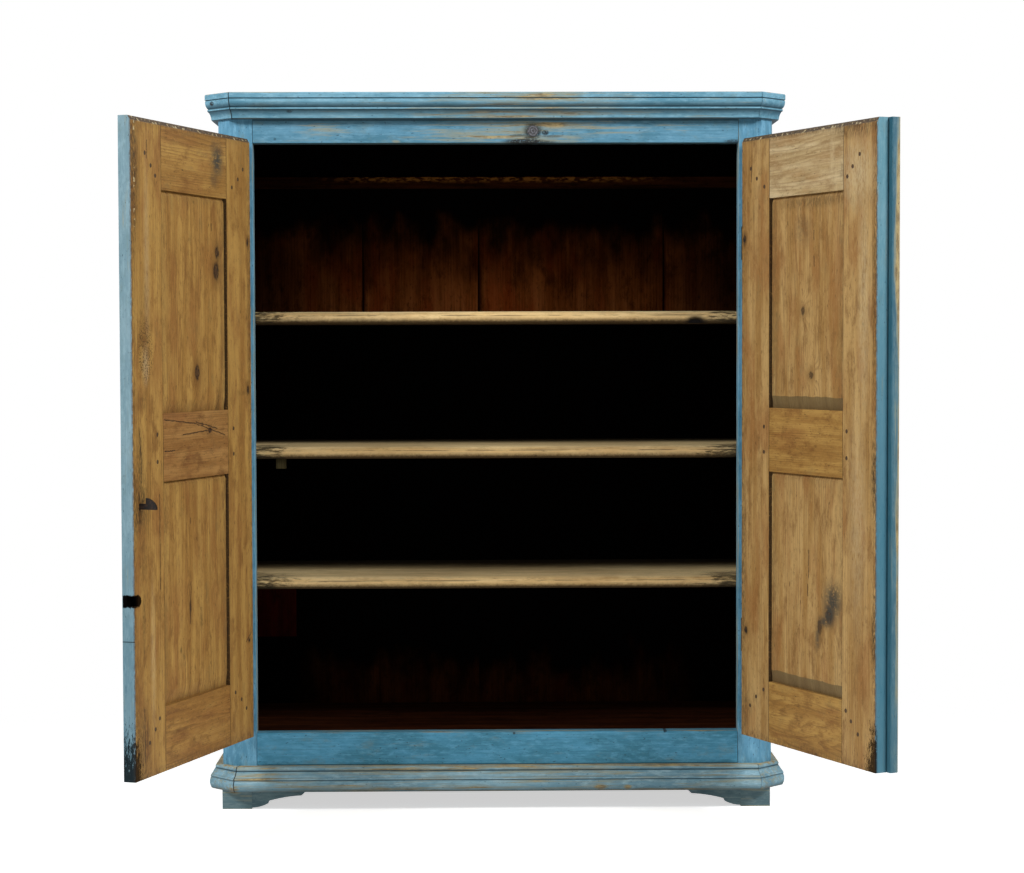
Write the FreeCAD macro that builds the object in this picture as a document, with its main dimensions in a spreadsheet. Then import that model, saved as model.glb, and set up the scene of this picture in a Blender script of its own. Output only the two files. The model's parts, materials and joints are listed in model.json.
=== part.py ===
"""Painted pine kas cupboard: canted corners, mitred mouldings, two framed doors on pin hinges.

Everything is in millimetres with +Z up. The origin is on the floor under the middle of the cupboard
with its doors standing open. Two working frames are used. The carcass frame has its zero on the
floor, mid-width, in the plane of the front frame, and y grows towards the back. Each door leaf has a
frame of its own on its hinge axis: x runs along the leaf from the axis (towards -x on the right
leaf) and y points into the cupboard when the leaf is shut.
"""
import FreeCAD, Part
import os
import re
import Sketcher

DOC = FreeCAD.newDocument("kas_cupboard")

# ---------------------------------------------------------------- driving dimensions
DIMENSIONS = (
    # the whole carcass
    ("overall_height", 1647, "floor to the top of the cornice"),
    ("carcass_width", 1274, "over the side boards"),
    ("carcass_depth", 468, "front of the frame to the back of the back boards"),
    ("foot_height", 45, "floor to the underside of the carcass"),
    ("carcass_x", -29.9, "origin to the middle of the carcass"),
    ("front_y", 52.4, "origin to the front of the frame"),
    ("joint_clearance", 0.15, "play of a tongue, tenon or shelf end in its slot, each side"),
    ("board_gap", 0.8, "shrinkage gap between neighbouring boards"),
    ("board_lap", 8, "back board behind the edge of its neighbour"),
    ("shoulder_gap", 0.4, "shrinkage gap at the shoulder of a rail"),
    ("mitre_gap", 0.4, "wood missing on each side of a mitre"),
    ("sill_round", 5, "worn upper arris of the lower frame rail"),
    ("arris_round", 2.5, "worn arrises of posts, frame rail and leaves"),
    # front frame
    ("frame_thickness", 32, "posts and frame rails, front to back"),
    ("post_width", 81, "side of the carcass to the edge of the opening"),
    ("post_chamfer", 28, "flat cut off the outer front corner of a post"),
    ("sill_height", 133, "lower rail of the front frame"),
    ("head_height", 92, "upper rail of the front frame"),
    ("frame_tenon_length", 50, "tenon of a frame rail in its post"),
    ("frame_tenon_thickness", 12, "tenon of a frame rail, front to back"),
    ("frame_tenon_shoulder", 14, "frame rail left above and below its tenon"),
    # boards behind the frame
    ("side_thickness", 23, "side board"),
    ("back_thickness", 18, "back board"),
    ("top_thickness", 22, "top board"),
    ("top_split", 236, "depth of the front top board"),
    ("housing_depth", 8, "groove in a side board for a shelf or the floor"),
    ("floor_drop", 2, "floor boards below the top of the lower frame rail"),
    ("floor_thickness", 22, "floor board"),
    ("floor_split", 208, "depth of the front floor board"),
    ("back_joint_left", -330, "first joint of the back boards, from the middle"),
    ("back_joint_middle", -42, "second joint of the back boards"),
    ("back_joint_right", 419, "third joint of the back boards"),
    # shelves and what is nailed inside
    ("shelf_thickness", 28, "shelf, with a fully rounded front"),
    ("shelf_setback", 2, "shelf nose behind the back of the posts"),
    ("bottom_space", 330, "clear height under the lower shelf"),
    ("lower_space", 275, "clear height between the lower and the middle shelf"),
    ("middle_space", 284, "clear height between the middle and the upper shelf"),
    ("knot_hole_at", 460, "fallen knot in the nose of the upper shelf, from the middle"),
    ("knot_hole_radius", 15, "fallen knot"),
    ("knot_hole_depth", 13, "fallen knot, into the shelf"),
    ("block_from_side", 102, "side board to the block under the middle shelf"),
    ("block_width", 23, "block under the middle shelf"),
    ("block_height", 23, "block under the middle shelf"),
    ("block_depth", 20, "block under the middle shelf"),
    ("block_setback", 16, "block behind the nose of the middle shelf"),
    ("batten_drop", 137, "underside of the top boards to the top of the batten"),
    ("batten_height", 28, "batten across the back"),
    ("batten_thickness", 20, "batten across the back"),
    ("patch_drop", 11, "underside of the lower shelf to the top of the patch board"),
    ("patch_height", 150, "patch board low on the left of the back"),
    ("patch_width", 115, "patch board"),
    ("patch_thickness", 10, "patch board"),
    # mouldings
    ("cant_leg", 42, "leg of the canted corner that the mouldings run round"),
    ("cornice_height", 59, "cornice"),
    ("cornice_projection", 31, "cornice in front of the frame"),
    ("base_height", 57, "base moulding"),
    ("base_projection", 31.5, "base moulding in front of the frame"),
    # feet
    ("foot_width", 68, "square foot block"),
    ("foot_setback", 5, "foot block behind the front and back of the carcass"),
    ("left_foot_inset", 0, "left foot block in from the side of the carcass"),
    ("right_foot_inset", 5, "right foot block in from the side of the carcass"),
    ("bracket_length", 130, "shaped bracket beside a front foot"),
    ("bracket_thickness", 22, "shaped bracket"),
    ("bracket_setback", 6, "shaped bracket behind the front of the frame"),
    ("bracket_lift", 3, "floor to the toe of a bracket"),
    # pin hinges
    ("hinge_offset", 13, "edge of the opening to the hinge axis"),
    ("hinge_stand", 13, "hinge axis in front of the frame"),
    ("hinge_from_foot", 229, "foot of a leaf to the middle of its lower hinge"),
    ("hinge_from_head", 238, "head of a leaf to the middle of its upper hinge"),
    ("barrel_radius", 7, "hinge barrel"),
    ("barrel_length", 38, "one half of a hinge barrel"),
    ("barrel_play", 0.2, "height between the two halves of a barrel"),
    ("barrel_cap", 1, "closed end of the upper half of a barrel"),
    ("pin_end_gap", 1, "pin short of the closed end of its bore"),
    ("pin_radius", 3.4, "hinge pin"),
    ("pin_clearance", 0.05, "radial play of the pin"),
    ("strap_thickness", 2.5, "iron leaf let into the wood"),
    ("strap_reach", 32, "iron leaf from the hinge axis"),
    ("strap_margin", 2, "barrel left beyond the iron leaf at each end"),
    # door leaves
    ("door_thickness", 28, "stiles and rails of a leaf"),
    ("door_back_gap", 0.5, "shut leaf in front of the frame"),
    ("door_edge_gap", 1.5, "hinge barrel to the edge of its leaf"),
    ("door_head_lap", 8, "leaf above the upper edge of the opening"),
    ("door_foot_lap", 4, "leaf below the lower edge of the opening"),
    ("meeting_gap", 1.5, "between the shut leaves"),
    ("left_leaf", 580, "width of the left leaf"),
    ("left_hinge_stile", 126, "left leaf"),
    ("left_meeting_stile", 137, "left leaf"),
    ("right_hinge_stile", 119, "right leaf"),
    ("right_meeting_stile", 125, "right leaf"),
    ("door_top_rail", 143, "both leaves"),
    ("door_middle_rail", 143, "both leaves"),
    ("door_bottom_rail", 137, "both leaves"),
    ("middle_rail_at", 612, "foot of a leaf to the underside of its middle rail"),
    ("head_bevel_height", 10, "bevel along the inner head arris of a leaf, down the face"),
    ("head_bevel_depth", 6, "bevel along the inner head arris of a leaf, into the head"),
    ("left_opening", 109, "degrees that the left leaf stands open"),
    ("right_opening", 114.5, "degrees that the right leaf stands open"),
    # joinery of the leaves
    ("tenon_length", 105, "tenon of a door rail in its stile"),
    ("tenon_thickness", 8, "tenons and panel grooves of the leaves"),
    ("tenon_shoulder", 12, "door rail left above and below its tenon"),
    ("mortise_spare", 1, "mortise deeper than its tenon"),
    ("peg_radius", 4.8, "pegs through the tenons, over the corners"),
    ("hinge_peg_near", 39, "outermost peg of a hinge stile, from its edge"),
    ("hinge_peg_between", 65, "second peg of a hinge stile, from its edge"),
    ("hinge_peg_far", 97, "innermost peg of a hinge stile, from its edge"),
    ("meeting_peg_near", 65, "outermost peg of a meeting stile, from its edge"),
    ("meeting_peg_between", 91, "second peg of a meeting stile, from its edge"),
    ("meeting_peg_far", 111, "innermost peg of a meeting stile, from its edge"),
    ("peg_end_near", 72, "outermost peg, from the end of the leaf"),
    ("peg_end_between", 96, "second peg, from the end of the leaf"),
    ("peg_end_far", 116, "innermost peg, from the end of the leaf"),
    ("peg_inset", 43, "pegs of the middle rail, from the rail's edges"),
    ("peg_sink", 0.5, "ends of the pegs below the inner face"),
    # panels
    ("groove_depth", 10, "panel groove in stiles and rails"),
    ("panel_recess", 6, "panel behind the inner face of the leaf"),
    ("panel_outer_recess", 5, "raised field behind the outer face of the leaf"),
    ("panel_side_gap", 3, "open line between a stile and the panel's inner face"),
    ("panel_foot_bevel", 28, "bevel along the foot of a panel's inner face"),
    ("panel_head_bevel", 10, "bevel along the head of a panel's inner face"),
    ("panel_field_bevel", 38, "bevel round the raised field outside"),
    # ironwork and cover strip
    ("catch_at", 561, "foot of the left leaf to the underside of the iron catch"),
    ("catch_inset", 32, "meeting edge to the far side of the catch"),
    ("catch_reach", 39, "catch out of the leaf's inner face"),
    ("catch_thickness", 6, "catch"),
    ("catch_bar", 12, "height of the catch's bar"),
    ("catch_barb", 24, "height of the catch's barb"),
    ("catch_neck", 15, "face of the leaf to the barb"),
    ("catch_tip", 4, "height of the catch's tip"),
    ("catch_hollow_reach", 32, "curve behind the barb, out of the leaf's inner face"),
    ("catch_hollow_height", 16, "curve behind the barb, above the underside of the bar"),
    ("catch_tang", 14, "catch driven into the stile"),
    ("catch_tang_height", 6, "end of the tang"),
    ("lock_hole_at", 362, "foot of the left leaf to the bolt hole in its meeting edge"),
    ("lock_hole_height", 22, "bolt hole"),
    ("lock_hole_width", 17, "bolt hole, across the thickness"),
    ("lock_hole_depth", 18, "bolt hole"),
    ("strip_width", 44, "cover strip on the right leaf"),
    ("strip_lip", 12, "cover strip past the meeting edge"),
    ("strip_thickness", 23, "cover strip"),
    ("strip_round", 6, "rounded outer arrises of the cover strip"),
    ("strip_relief", 0.8, "back of the lip clear of the left leaf"),
)

SIZES = DOC.addObject("Spreadsheet::Sheet", "Sizes")
for row, (name, value, meaning) in enumerate(DIMENSIONS, start=1):
    SIZES.set(f"A{row}", meaning)
    SIZES.set(f"B{row}", str(value))
    SIZES.setAlias(f"B{row}", name)
DOC.recompute()
ALIASES = {name for name, value, meaning in DIMENSIONS}

# ---------------------------------------------------------------- places worked out from them
HALF_WIDTH = "(carcass_width/2)"
HALF_OPENING = "(carcass_width/2 - post_width)"
SIDE_INSIDE = "(carcass_width/2 - side_thickness)"
BACK = "(carcass_depth - back_thickness)"
CARCASS_TOP = "(overall_height - top_thickness)"
CANT_START = "(carcass_width/2 - cant_leg)"
OPENING_BOTTOM = "(foot_height + sill_height)"
OPENING_TOP = f"({CARCASS_TOP} - head_height)"
FLOOR_TOP = f"({OPENING_BOTTOM} - floor_drop)"
LOW_SHELF = f"({FLOOR_TOP} + bottom_space)"
MIDDLE_SHELF = f"({LOW_SHELF} + shelf_thickness + lower_space)"
HIGH_SHELF = f"({MIDDLE_SHELF} + shelf_thickness + middle_space)"
SHELF_FRONT = "(frame_thickness + shelf_setback)"
HINGE_X = "(carcass_width/2 - post_width + hinge_offset)"
MITRE = "tan(22.5deg)"

DOOR_FOOT = f"({OPENING_BOTTOM} - door_foot_lap)"
DOOR_HEAD = f"({OPENING_TOP} + door_head_lap)"
DOOR_HEIGHT = f"({DOOR_HEAD} - {DOOR_FOOT})"
LEAF_START = "(barrel_radius + door_edge_gap)"
INNER_FACE = "(hinge_stand - door_back_gap)"
OUTER_FACE = "(hinge_stand - door_back_gap - door_thickness)"
GROOVE_LOW = "(hinge_stand - door_back_gap - door_thickness/2 - tenon_thickness/2)"
GROOVE_HIGH = "(hinge_stand - door_back_gap - door_thickness/2 + tenon_thickness/2)"
HINGE_HEIGHTS = (f"({DOOR_FOOT} + hinge_from_foot)", f"({DOOR_HEAD} - hinge_from_head)")

# Along a leaf, from its hinge axis.
LEFT_END = f"({LEAF_START} + left_leaf)"
RIGHT_END = f"(2*{HINGE_X} - {LEFT_END} - meeting_gap)"

PLANES = {"XY": ("XY_Plane", 1), "XZ": ("XZ_Plane", -1), "YZ": ("YZ_Plane", 1)}
LEFT, RIGHT = -1, 1
PEG_SIDES = 8
LEAST_CUT = 0.5
PARTS = []


# ---------------------------------------------------------------- helpers
def in_sheet(text):
    """The same arithmetic with every size read from the sheet."""
    return re.sub(r"[a-z][a-z_]*", lambda m: f"Sizes.{m[0]}" if m[0] in ALIASES else m[0], text)


def bind(thing, prop, text):
    thing.setExpression(prop, in_sheet(text))


def new_body(label, x="0", y="0", turn="0"):
    """A body in the carcass frame, shifted to x, y and turned about the vertical by `turn` degrees."""
    body = DOC.addObject("PartDesign::Body", label)
    body.Label = label
    body.Placement = FreeCAD.Placement(FreeCAD.Vector(), FreeCAD.Rotation(FreeCAD.Vector(0, 0, 1), 1))
    bind(body, "Placement.Base.x", f"carcass_x + {x}")
    bind(body, "Placement.Base.y", f"front_y + {y}")
    bind(body, "Placement.Rotation.Angle", turn)
    PARTS.append(body)
    return body


def leaf_body(label, leaf):
    """A body in the frame of one door leaf, standing open."""
    if leaf == LEFT:
        return new_body(label, f"-{HINGE_X}", "-hinge_stand", "-left_opening")
    return new_body(label, HINGE_X, "-hinge_stand", "right_opening")


def sketch_on(body, plane, level="0"):
    """An empty sketch on one of the body's own planes, moved to `level` along that plane's axis."""
    role, sense = PLANES[plane]
    sketch = body.newObject("Sketcher::SketchObject", "Sketch")
    support = [item for item in body.Origin.OriginFeatures if item.Role == role][0]
    sketch.AttachmentSupport = [(support, "")]
    sketch.MapMode = "FlatFace"
    bind(sketch, "AttachmentOffset.Base.z", f"{sense}*({level})")
    return sketch


def fixed_point(sketch, x, y):
    """A construction point held at two dimensions; returns its index."""
    index = sketch.addGeometry(Part.Point(FreeCAD.Vector(1, 1, 0)), True)
    for kind, text in (("DistanceX", x), ("DistanceY", y)):
        number = sketch.addConstraint(Sketcher.Constraint(kind, -1, 1, index, 1, 1.0))
        bind(sketch, f"Constraints[{number}]", text)
    return index


def outline(sketch, points):
    """A closed outline through (x, y) corners; (x, y, "via") makes the side it stands in an arc."""
    marks = [fixed_point(sketch, point[0], point[1]) for point in points]
    sketch.recompute()
    spots = [FreeCAD.Vector(sketch.Geometry[m].X, sketch.Geometry[m].Y, 0) for m in marks]
    corners = [i for i, point in enumerate(points) if len(point) == 2]
    for start, end in zip(corners, corners[1:] + corners[:1]):
        passes = (start + 1) % len(points)
        if passes == end:
            side = sketch.addGeometry(Part.LineSegment(spots[start], spots[end]), False)
            ends = (1, 2)
        else:
            bend = (spots[passes] - spots[start]).cross(spots[end] - spots[passes]).z
            ends = (1, 2) if bend > 0 else (2, 1)
            first, last = (start, end) if bend > 0 else (end, start)
            side = sketch.addGeometry(Part.ArcOfCircle(spots[first], spots[passes], spots[last]), False)
            sketch.addConstraint(Sketcher.Constraint("PointOnObject", marks[passes], 1, side))
        sketch.addConstraint(Sketcher.Constraint("Coincident", side, ends[0], marks[start], 1))
        sketch.addConstraint(Sketcher.Constraint("Coincident", side, ends[1], marks[end], 1))


def rounded(x, y, into_x, into_y, radius, along_x_first):
    """The three points that round the corner at x, y; into_x and into_y are signs pointing into the wood."""
    bend = f"{radius}*(1 - cos(45deg))"
    points = [
        (f"{x} + {into_x}*{radius}", y),
        (f"{x} + {into_x}*{bend}", f"{y} + {into_y}*{bend}", "via"),
        (x, f"{y} + {into_y}*{radius}"),
    ]
    return points if along_x_first else points[::-1]


def box_outline(sketch, x, y, width, height):
    """A rectangle from its low corner."""
    far_x, far_y = f"{x} + {width}", f"{y} + {height}"
    outline(sketch, [(x, y), (far_x, y), (far_x, far_y), (x, far_y)])


def discs(sketch, centres, radius):
    """Equal circles, each centre held at two dimensions."""
    for x, y in centres:
        mark = fixed_point(sketch, x, y)
        circle = sketch.addGeometry(Part.Circle(FreeCAD.Vector(1, 1, 0), FreeCAD.Vector(0, 0, 1), 2), False)
        sketch.addConstraint(Sketcher.Constraint("Coincident", circle, 3, mark, 1))
        number = sketch.addConstraint(Sketcher.Constraint("Radius", circle, 2.0))
        bind(sketch, f"Constraints[{number}]", radius)


def grow(body, sketch, length):
    """Pad towards the positive side of the sketch's plane."""
    pad = body.newObject("PartDesign::Pad", "Pad")
    pad.Profile = sketch
    pad.Reversed = sketch.AttachmentSupport[0][0].Role == "XZ_Plane"
    bind(pad, "Length", length)
    pad.recompute()


def cut(body, sketch, length):
    """Pocket towards the positive side of the sketch's plane; it has to take wood away."""
    before = body.Tip.Shape.Volume
    pocket = body.newObject("PartDesign::Pocket", "Pocket")
    pocket.Profile = sketch
    pocket.Reversed = sketch.AttachmentSupport[0][0].Role != "XZ_Plane"
    bind(pocket, "Length", length)
    DOC.recompute()
    if pocket.Shape.Volume > before - LEAST_CUT:
        raise RuntimeError(f"{body.Label}: a pocket cuts nothing")


def board(body, x, y, z, width, depth, height):
    sketch = sketch_on(body, "XY", z)
    box_outline(sketch, x, y, width, depth)
    grow(body, sketch, height)


def slot(body, x, y, z, width, depth, height):
    DOC.recompute()
    sketch = sketch_on(body, "XY", z)
    box_outline(sketch, x, y, width, depth)
    cut(body, sketch, height)


def mirrored(side, low, width):
    """Low end of a span that starts `low` from the middle and runs outwards on one side."""
    return low if side == RIGHT else f"-({low} + {width})"


# ---------------------------------------------------------------- carcass
def post(side, label):
    """Front post with its outer corner planed off, mortised for both rails and the hinge leaves."""
    body = new_body(label)
    inner = f"{side}*{HALF_OPENING}"
    outer = f"{side}*{HALF_WIDTH}"
    sketch = sketch_on(body, "XY", "foot_height")
    outline(sketch, rounded(inner, "0", side, 1, "arris_round", False) + [
        (f"{side}*({HALF_WIDTH} - post_chamfer)", "0"),
        (outer, "post_chamfer"),
        (outer, "frame_thickness"),
        (inner, "frame_thickness"),
    ])
    grow(body, sketch, f"{CARCASS_TOP} - foot_height")
    play = "joint_clearance"
    for low, high in (("foot_height", OPENING_BOTTOM), (OPENING_TOP, CARCASS_TOP)):
        length = f"(frame_tenon_length + {play})"
        slot(body,
             mirrored(side, HALF_OPENING, length),
             f"frame_thickness/2 - frame_tenon_thickness/2 - {play}",
             f"{low} + frame_tenon_shoulder - {play}",
             length,
             f"frame_tenon_thickness + 2*{play}",
             f"{high} - {low} - 2*frame_tenon_shoulder + 2*{play}")
    width = f"(strap_thickness + 2*{play})"
    for middle in HINGE_HEIGHTS:
        slot(body,
             mirrored(side, f"({HINGE_X} - {width}/2)", width),
             "0",
             f"{middle} - barrel_length + strap_margin - {play}",
             width,
             f"strap_reach - hinge_stand + {play}",
             f"barrel_length - 2*strap_margin + 2*{play}")


def frame_rail(label, low, high, worn_top, worn_foot):
    """Rail of the front frame with a tenon at each end; its arris at the opening is worn round."""
    body = new_body(label)
    half_length = f"({HALF_OPENING} - shoulder_gap)"
    sketch = sketch_on(body, "YZ", f"-{half_length}")
    foot = rounded("0", low, 1, 1, worn_foot, False) if worn_foot else [("0", low)]
    top = rounded("0", high, 1, -1, worn_top, True) if worn_top else [("0", high)]
    outline(sketch, foot + [("frame_thickness", low), ("frame_thickness", high)] + top)
    grow(body, sketch, f"2*{half_length}")
    board(body,
          f"-({HALF_OPENING} + frame_tenon_length)",
          "frame_thickness/2 - frame_tenon_thickness/2",
          f"{low} + frame_tenon_shoulder",
          f"2*({HALF_OPENING} + frame_tenon_length)",
          "frame_tenon_thickness",
          f"{high} - {low} - 2*frame_tenon_shoulder")


def side_board(side, label):
    """Side of the carcass, grooved for the floor and the shelves."""
    body = new_body(label)
    depth = f"{BACK} - frame_thickness"
    board(body, mirrored(side, SIDE_INSIDE, "side_thickness"), "frame_thickness", "foot_height",
          "side_thickness", depth, f"{CARCASS_TOP} - foot_height")
    housings = [(f"{FLOOR_TOP} - floor_thickness", "floor_thickness")]
    housings += [(shelf_foot, "shelf_thickness") for shelf_foot in (LOW_SHELF, MIDDLE_SHELF, HIGH_SHELF)]
    for low, thickness in housings:
        slot(body, mirrored(side, SIDE_INSIDE, "housing_depth"), "frame_thickness",
             f"{low} - joint_clearance", "housing_depth", depth, f"{thickness} + 2*joint_clearance")


HOUSED_HALF = f"({SIDE_INSIDE} + housing_depth - joint_clearance)"


def floor_board(label, front, depth):
    body = new_body(label)
    board(body, f"-{HOUSED_HALF}", front, f"{FLOOR_TOP} - floor_thickness",
          f"2*{HOUSED_HALF}", depth, "floor_thickness")


def back_board(label, low, high, lapped, laps):
    """Upright back board; its rear half passes behind the next one, so that no light comes through."""
    body = new_body(label)
    middle = f"{BACK} + back_thickness/2"
    rear = f"{BACK} + back_thickness"
    far = f"{high} + board_lap" if laps else high
    near = f"{low} + board_lap" if lapped else low
    tongue = [(high, f"{middle} + joint_clearance"), (far, f"{middle} + joint_clearance")] if laps else []
    rebate = [(near, middle), (low, middle)] if lapped else []
    sketch = sketch_on(body, "XY", "foot_height")
    outline(sketch, [(low, BACK), (high, BACK)] + tongue + [(far, rear), (near, rear)] + rebate)
    grow(body, sketch, f"{CARCASS_TOP} - foot_height")


def shelf(label, low):
    """Shelf with a fully rounded nose, its ends in the side boards' grooves."""
    body = new_body(label)
    sketch = sketch_on(body, "YZ", f"-{HOUSED_HALF}")
    half = "shelf_thickness/2"
    outline(sketch, [
        (f"{SHELF_FRONT} + {half}", low),
        (f"{BACK} - joint_clearance", low),
        (f"{BACK} - joint_clearance", f"{low} + shelf_thickness"),
        (f"{SHELF_FRONT} + {half}", f"{low} + shelf_thickness"),
        (SHELF_FRONT, f"{low} + {half}", "via"),
    ])
    grow(body, sketch, f"2*{HOUSED_HALF}")
    return body


def knot_hole(body):
    """Hollow left in the lower half of the nose where a knot has fallen out."""
    DOC.recompute()
    sketch = sketch_on(body, "XZ", SHELF_FRONT)
    discs(sketch, [("knot_hole_at", HIGH_SHELF)], "knot_hole_radius")
    cut(body, sketch, "knot_hole_depth")


def top_board(label, front, depth, canted):
    """Board of the top; the front one has the canted corners of the cornice."""
    body = new_body(label)
    sketch = sketch_on(body, "XY", CARCASS_TOP)
    if canted:
        outline(sketch, [
            (f"-{CANT_START}", front),
            (CANT_START, front),
            (HALF_WIDTH, f"{front} + cant_leg"),
            (HALF_WIDTH, f"{front} + {depth}"),
            (f"-{HALF_WIDTH}", f"{front} + {depth}"),
            (f"-{HALF_WIDTH}", f"{front} + cant_leg"),
        ])
    else:
        box_outline(sketch, f"-{HALF_WIDTH}", front, "carcass_width", depth)
    grow(body, sketch, "top_thickness")


def inner_fittings():
    """The block under the middle shelf, the batten across the back and the patch nailed on it."""
    body = new_body("shelf_block")
    board(body, f"block_from_side - {SIDE_INSIDE}", f"{SHELF_FRONT} + block_setback",
          f"{MIDDLE_SHELF} - block_height", "block_width", "block_depth", "block_height")
    body = new_body("back_batten")
    board(body, f"joint_clearance - {SIDE_INSIDE}", f"{BACK} - batten_thickness",
          f"{CARCASS_TOP} - batten_drop - batten_height",
          f"2*({SIDE_INSIDE} - joint_clearance)", "batten_thickness", "batten_height")
    body = new_body("back_patch_board")
    board(body, f"joint_clearance - {SIDE_INSIDE}", f"{BACK} - patch_thickness",
          f"{LOW_SHELF} - patch_drop - patch_height",
          "patch_width", "patch_thickness", "patch_height")


# ---------------------------------------------------------------- mouldings
# A section is a list of (share of the projection, share of the height), from its foot upwards.
CORNICE_SECTION = (
    (0, 0),
    (0.50, 0),
    (0.54, 0.03),
    (0.60, 0.19, "via"),
    (0.76, 0.34),
    (0.82, 0.35),
    (0.82, 0.41),
    (0.77, 0.42),
    (0.77, 0.45),
    (0.82, 0.46),
    (0.94, 0.57, "via"),
    (0.97, 0.74),
    (0.93, 0.755),
    (0.93, 0.78),
    (1, 0.79),
    (1, 0.96),
    (0.94, 1),
    (0, 1),
)
BASE_SECTION = (
    (0, 0),
    (0.86, 0),
    (1, 0.22, "via"),
    (0.95, 0.44),
    (0.89, 0.46),
    (0.95, 0.51, "via"),
    (0.89, 0.56),
    (0.86, 0.58),
    (0.71, 0.68, "via"),
    (0.62, 0.79),
    (0.53, 0.80),
    (0.60, 0.90, "via"),
    (0.45, 1),
    (0, 1),
)


def moulding(label, section, name, low, x, y, turn, side, run, start, end):
    """A length of moulding cut to its mitres.

    It starts at (x, y) on the face that it is nailed to and runs outwards from the middle. `start`
    and `end` say which ends are mitred with the 22.5 degree cut of the canted corner.
    """
    body = new_body(label, x, y, turn)
    reach = f"({name}_projection*{MITRE})"
    before, after = reach if start else "0", reach if end else "0"
    length = f"({run} + {before} + {after})"
    level = f"-{before}" if side == RIGHT else f"-({run} + {after})"
    sketch = sketch_on(body, "YZ", level)
    outline(sketch, [
        (f"-{point[0]}*{name}_projection", f"{low} + {point[1]}*{name}_height") + tuple(point[2:])
        for point in section
    ])
    grow(body, sketch, length)
    cuts = []
    if start:
        cuts.append(("mitre_gap", f"mitre_gap - {reach}", f"-{reach}"))
    if end:
        cuts.append((f"{run} - mitre_gap", f"{run} + {reach} - mitre_gap", f"{run} + {reach}"))
    for inner, tip, outer in cuts:
        DOC.recompute()
        sketch = sketch_on(body, "XY", low)
        outline(sketch, [
            (f"{side}*({inner})", "0"),
            (f"{side}*({tip})", f"-{name}_projection"),
            (f"{side}*({outer})", f"-{name}_projection"),
            (f"{side}*({outer})", "0"),
        ])
        cut(body, sketch, f"{name}_height")
    return body


def seat_on_post(body, side, low, height):
    """Hollow the back of a canted length over the post, whose own flat is the smaller one."""
    DOC.recompute()
    across = "(cant_leg - post_chamfer)*cos(45deg)"
    run = "cant_leg*sqrt(2)"
    sketch = sketch_on(body, "XY", low)
    outline(sketch, [
        ("0", "0"),
        (f"{side}*({across})", f"-{across}"),
        (f"{side}*({run} - {across})", f"-{across}"),
        (f"{side}*{run}", "0"),
    ])
    cut(body, sketch, height)


def moulding_round(name, section, low, seat_height):
    """Front, two canted lengths and two returns of one moulding."""
    moulding(f"{name}_front", section, name, low, f"-{CANT_START}", "0", "0",
             RIGHT, f"(2*{CANT_START})", True, True)
    for side, word in ((LEFT, "left"), (RIGHT, "right")):
        canted = moulding(f"{name}_{word}_cant", section, name, low, f"{side}*{CANT_START}", "0",
                          f"{side}*45", side, "(cant_leg*sqrt(2))", True, True)
        seat_on_post(canted, side, low, seat_height)
        moulding(f"{name}_{word}_return", section, name, low, f"{side}*{HALF_WIDTH}", "cant_leg",
                 f"{side}*90", side, "(carcass_depth - cant_leg)", True, False)


# ---------------------------------------------------------------- feet
def foot(side, word, row, front):
    body = new_body(f"{row}_{word}_foot")
    board(body, mirrored(side, f"({HALF_WIDTH} - {word}_foot_inset - foot_width)", "foot_width"), front, "0",
          "foot_width", "foot_width", "foot_height")


def bracket(side, word):
    """Shaped bracket under the lower frame rail: a round toe, a step and a long hollow."""
    body = new_body(f"{word}_bracket")
    start = f"({HALF_WIDTH} - {word}_foot_inset - foot_width)"
    rise = "(foot_height - bracket_lift)"
    shape = (
        (0, 1),
        (0, 0),
        (0.16, 0.07, "via"),
        (0.29, 0.24),
        (0.29, 0.36),
        (0.62, 0.58, "via"),
        (0.88, 0.66),
        (1, 1),
    )
    sketch = sketch_on(body, "XZ", "bracket_setback")
    outline(sketch, [
        (f"{side}*({start} - {point[0]}*bracket_length)", f"bracket_lift + {point[1]}*{rise}")
        + tuple(point[2:])
        for point in shape
    ])
    grow(body, sketch, "bracket_thickness")


# ---------------------------------------------------------------- door leaves
class Leaf:
    """Places along one leaf. `side` is the half of the opening that it covers."""

    def __init__(self, side, word, end):
        self.side = side
        self.word = word
        self.end = end
        self.from_hinge = f"{LEAF_START} +"
        self.from_meeting = f"{end} -"
        self.hinge_joint = f"({LEAF_START} + {word}_hinge_stile)"
        self.meeting_joint = f"({end} - {word}_meeting_stile)"

    def along(self, place):
        """x of a place that is given from the hinge axis."""
        return f"{-self.side}*({place})"

    def low_x(self, start, end):
        return f"({start})" if self.side == LEFT else f"-({end})"

    def part(self, name):
        return leaf_body(f"{self.word}_door_{name}", self.side)

    def board(self, body, start, end, y_low, y_high, z, height):
        board(body, self.low_x(start, end), y_low, z, f"({end}) - ({start})", f"{y_high} - ({y_low})", height)

    def slot(self, body, start, end, y_low, y_high, z, height):
        slot(body, self.low_x(start, end), y_low, z, f"({end}) - ({start})", f"{y_high} - ({y_low})", height)


RAILS = (
    ("bottom_rail", "0", "door_bottom_rail"),
    ("middle_rail", "middle_rail_at", "door_middle_rail"),
    ("top_rail", f"({DOOR_HEIGHT} - door_top_rail)", "door_top_rail"),
)
RAIL_NAMES = [rail for rail, low, height in RAILS]
PEG_HEIGHTS = ("peg_end_near", "peg_end_between", "peg_end_far")
PANELS = (
    ("lower_panel", "door_bottom_rail", "middle_rail_at"),
    ("upper_panel", "(middle_rail_at + door_middle_rail)", f"({DOOR_HEIGHT} - door_top_rail)"),
)


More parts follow.
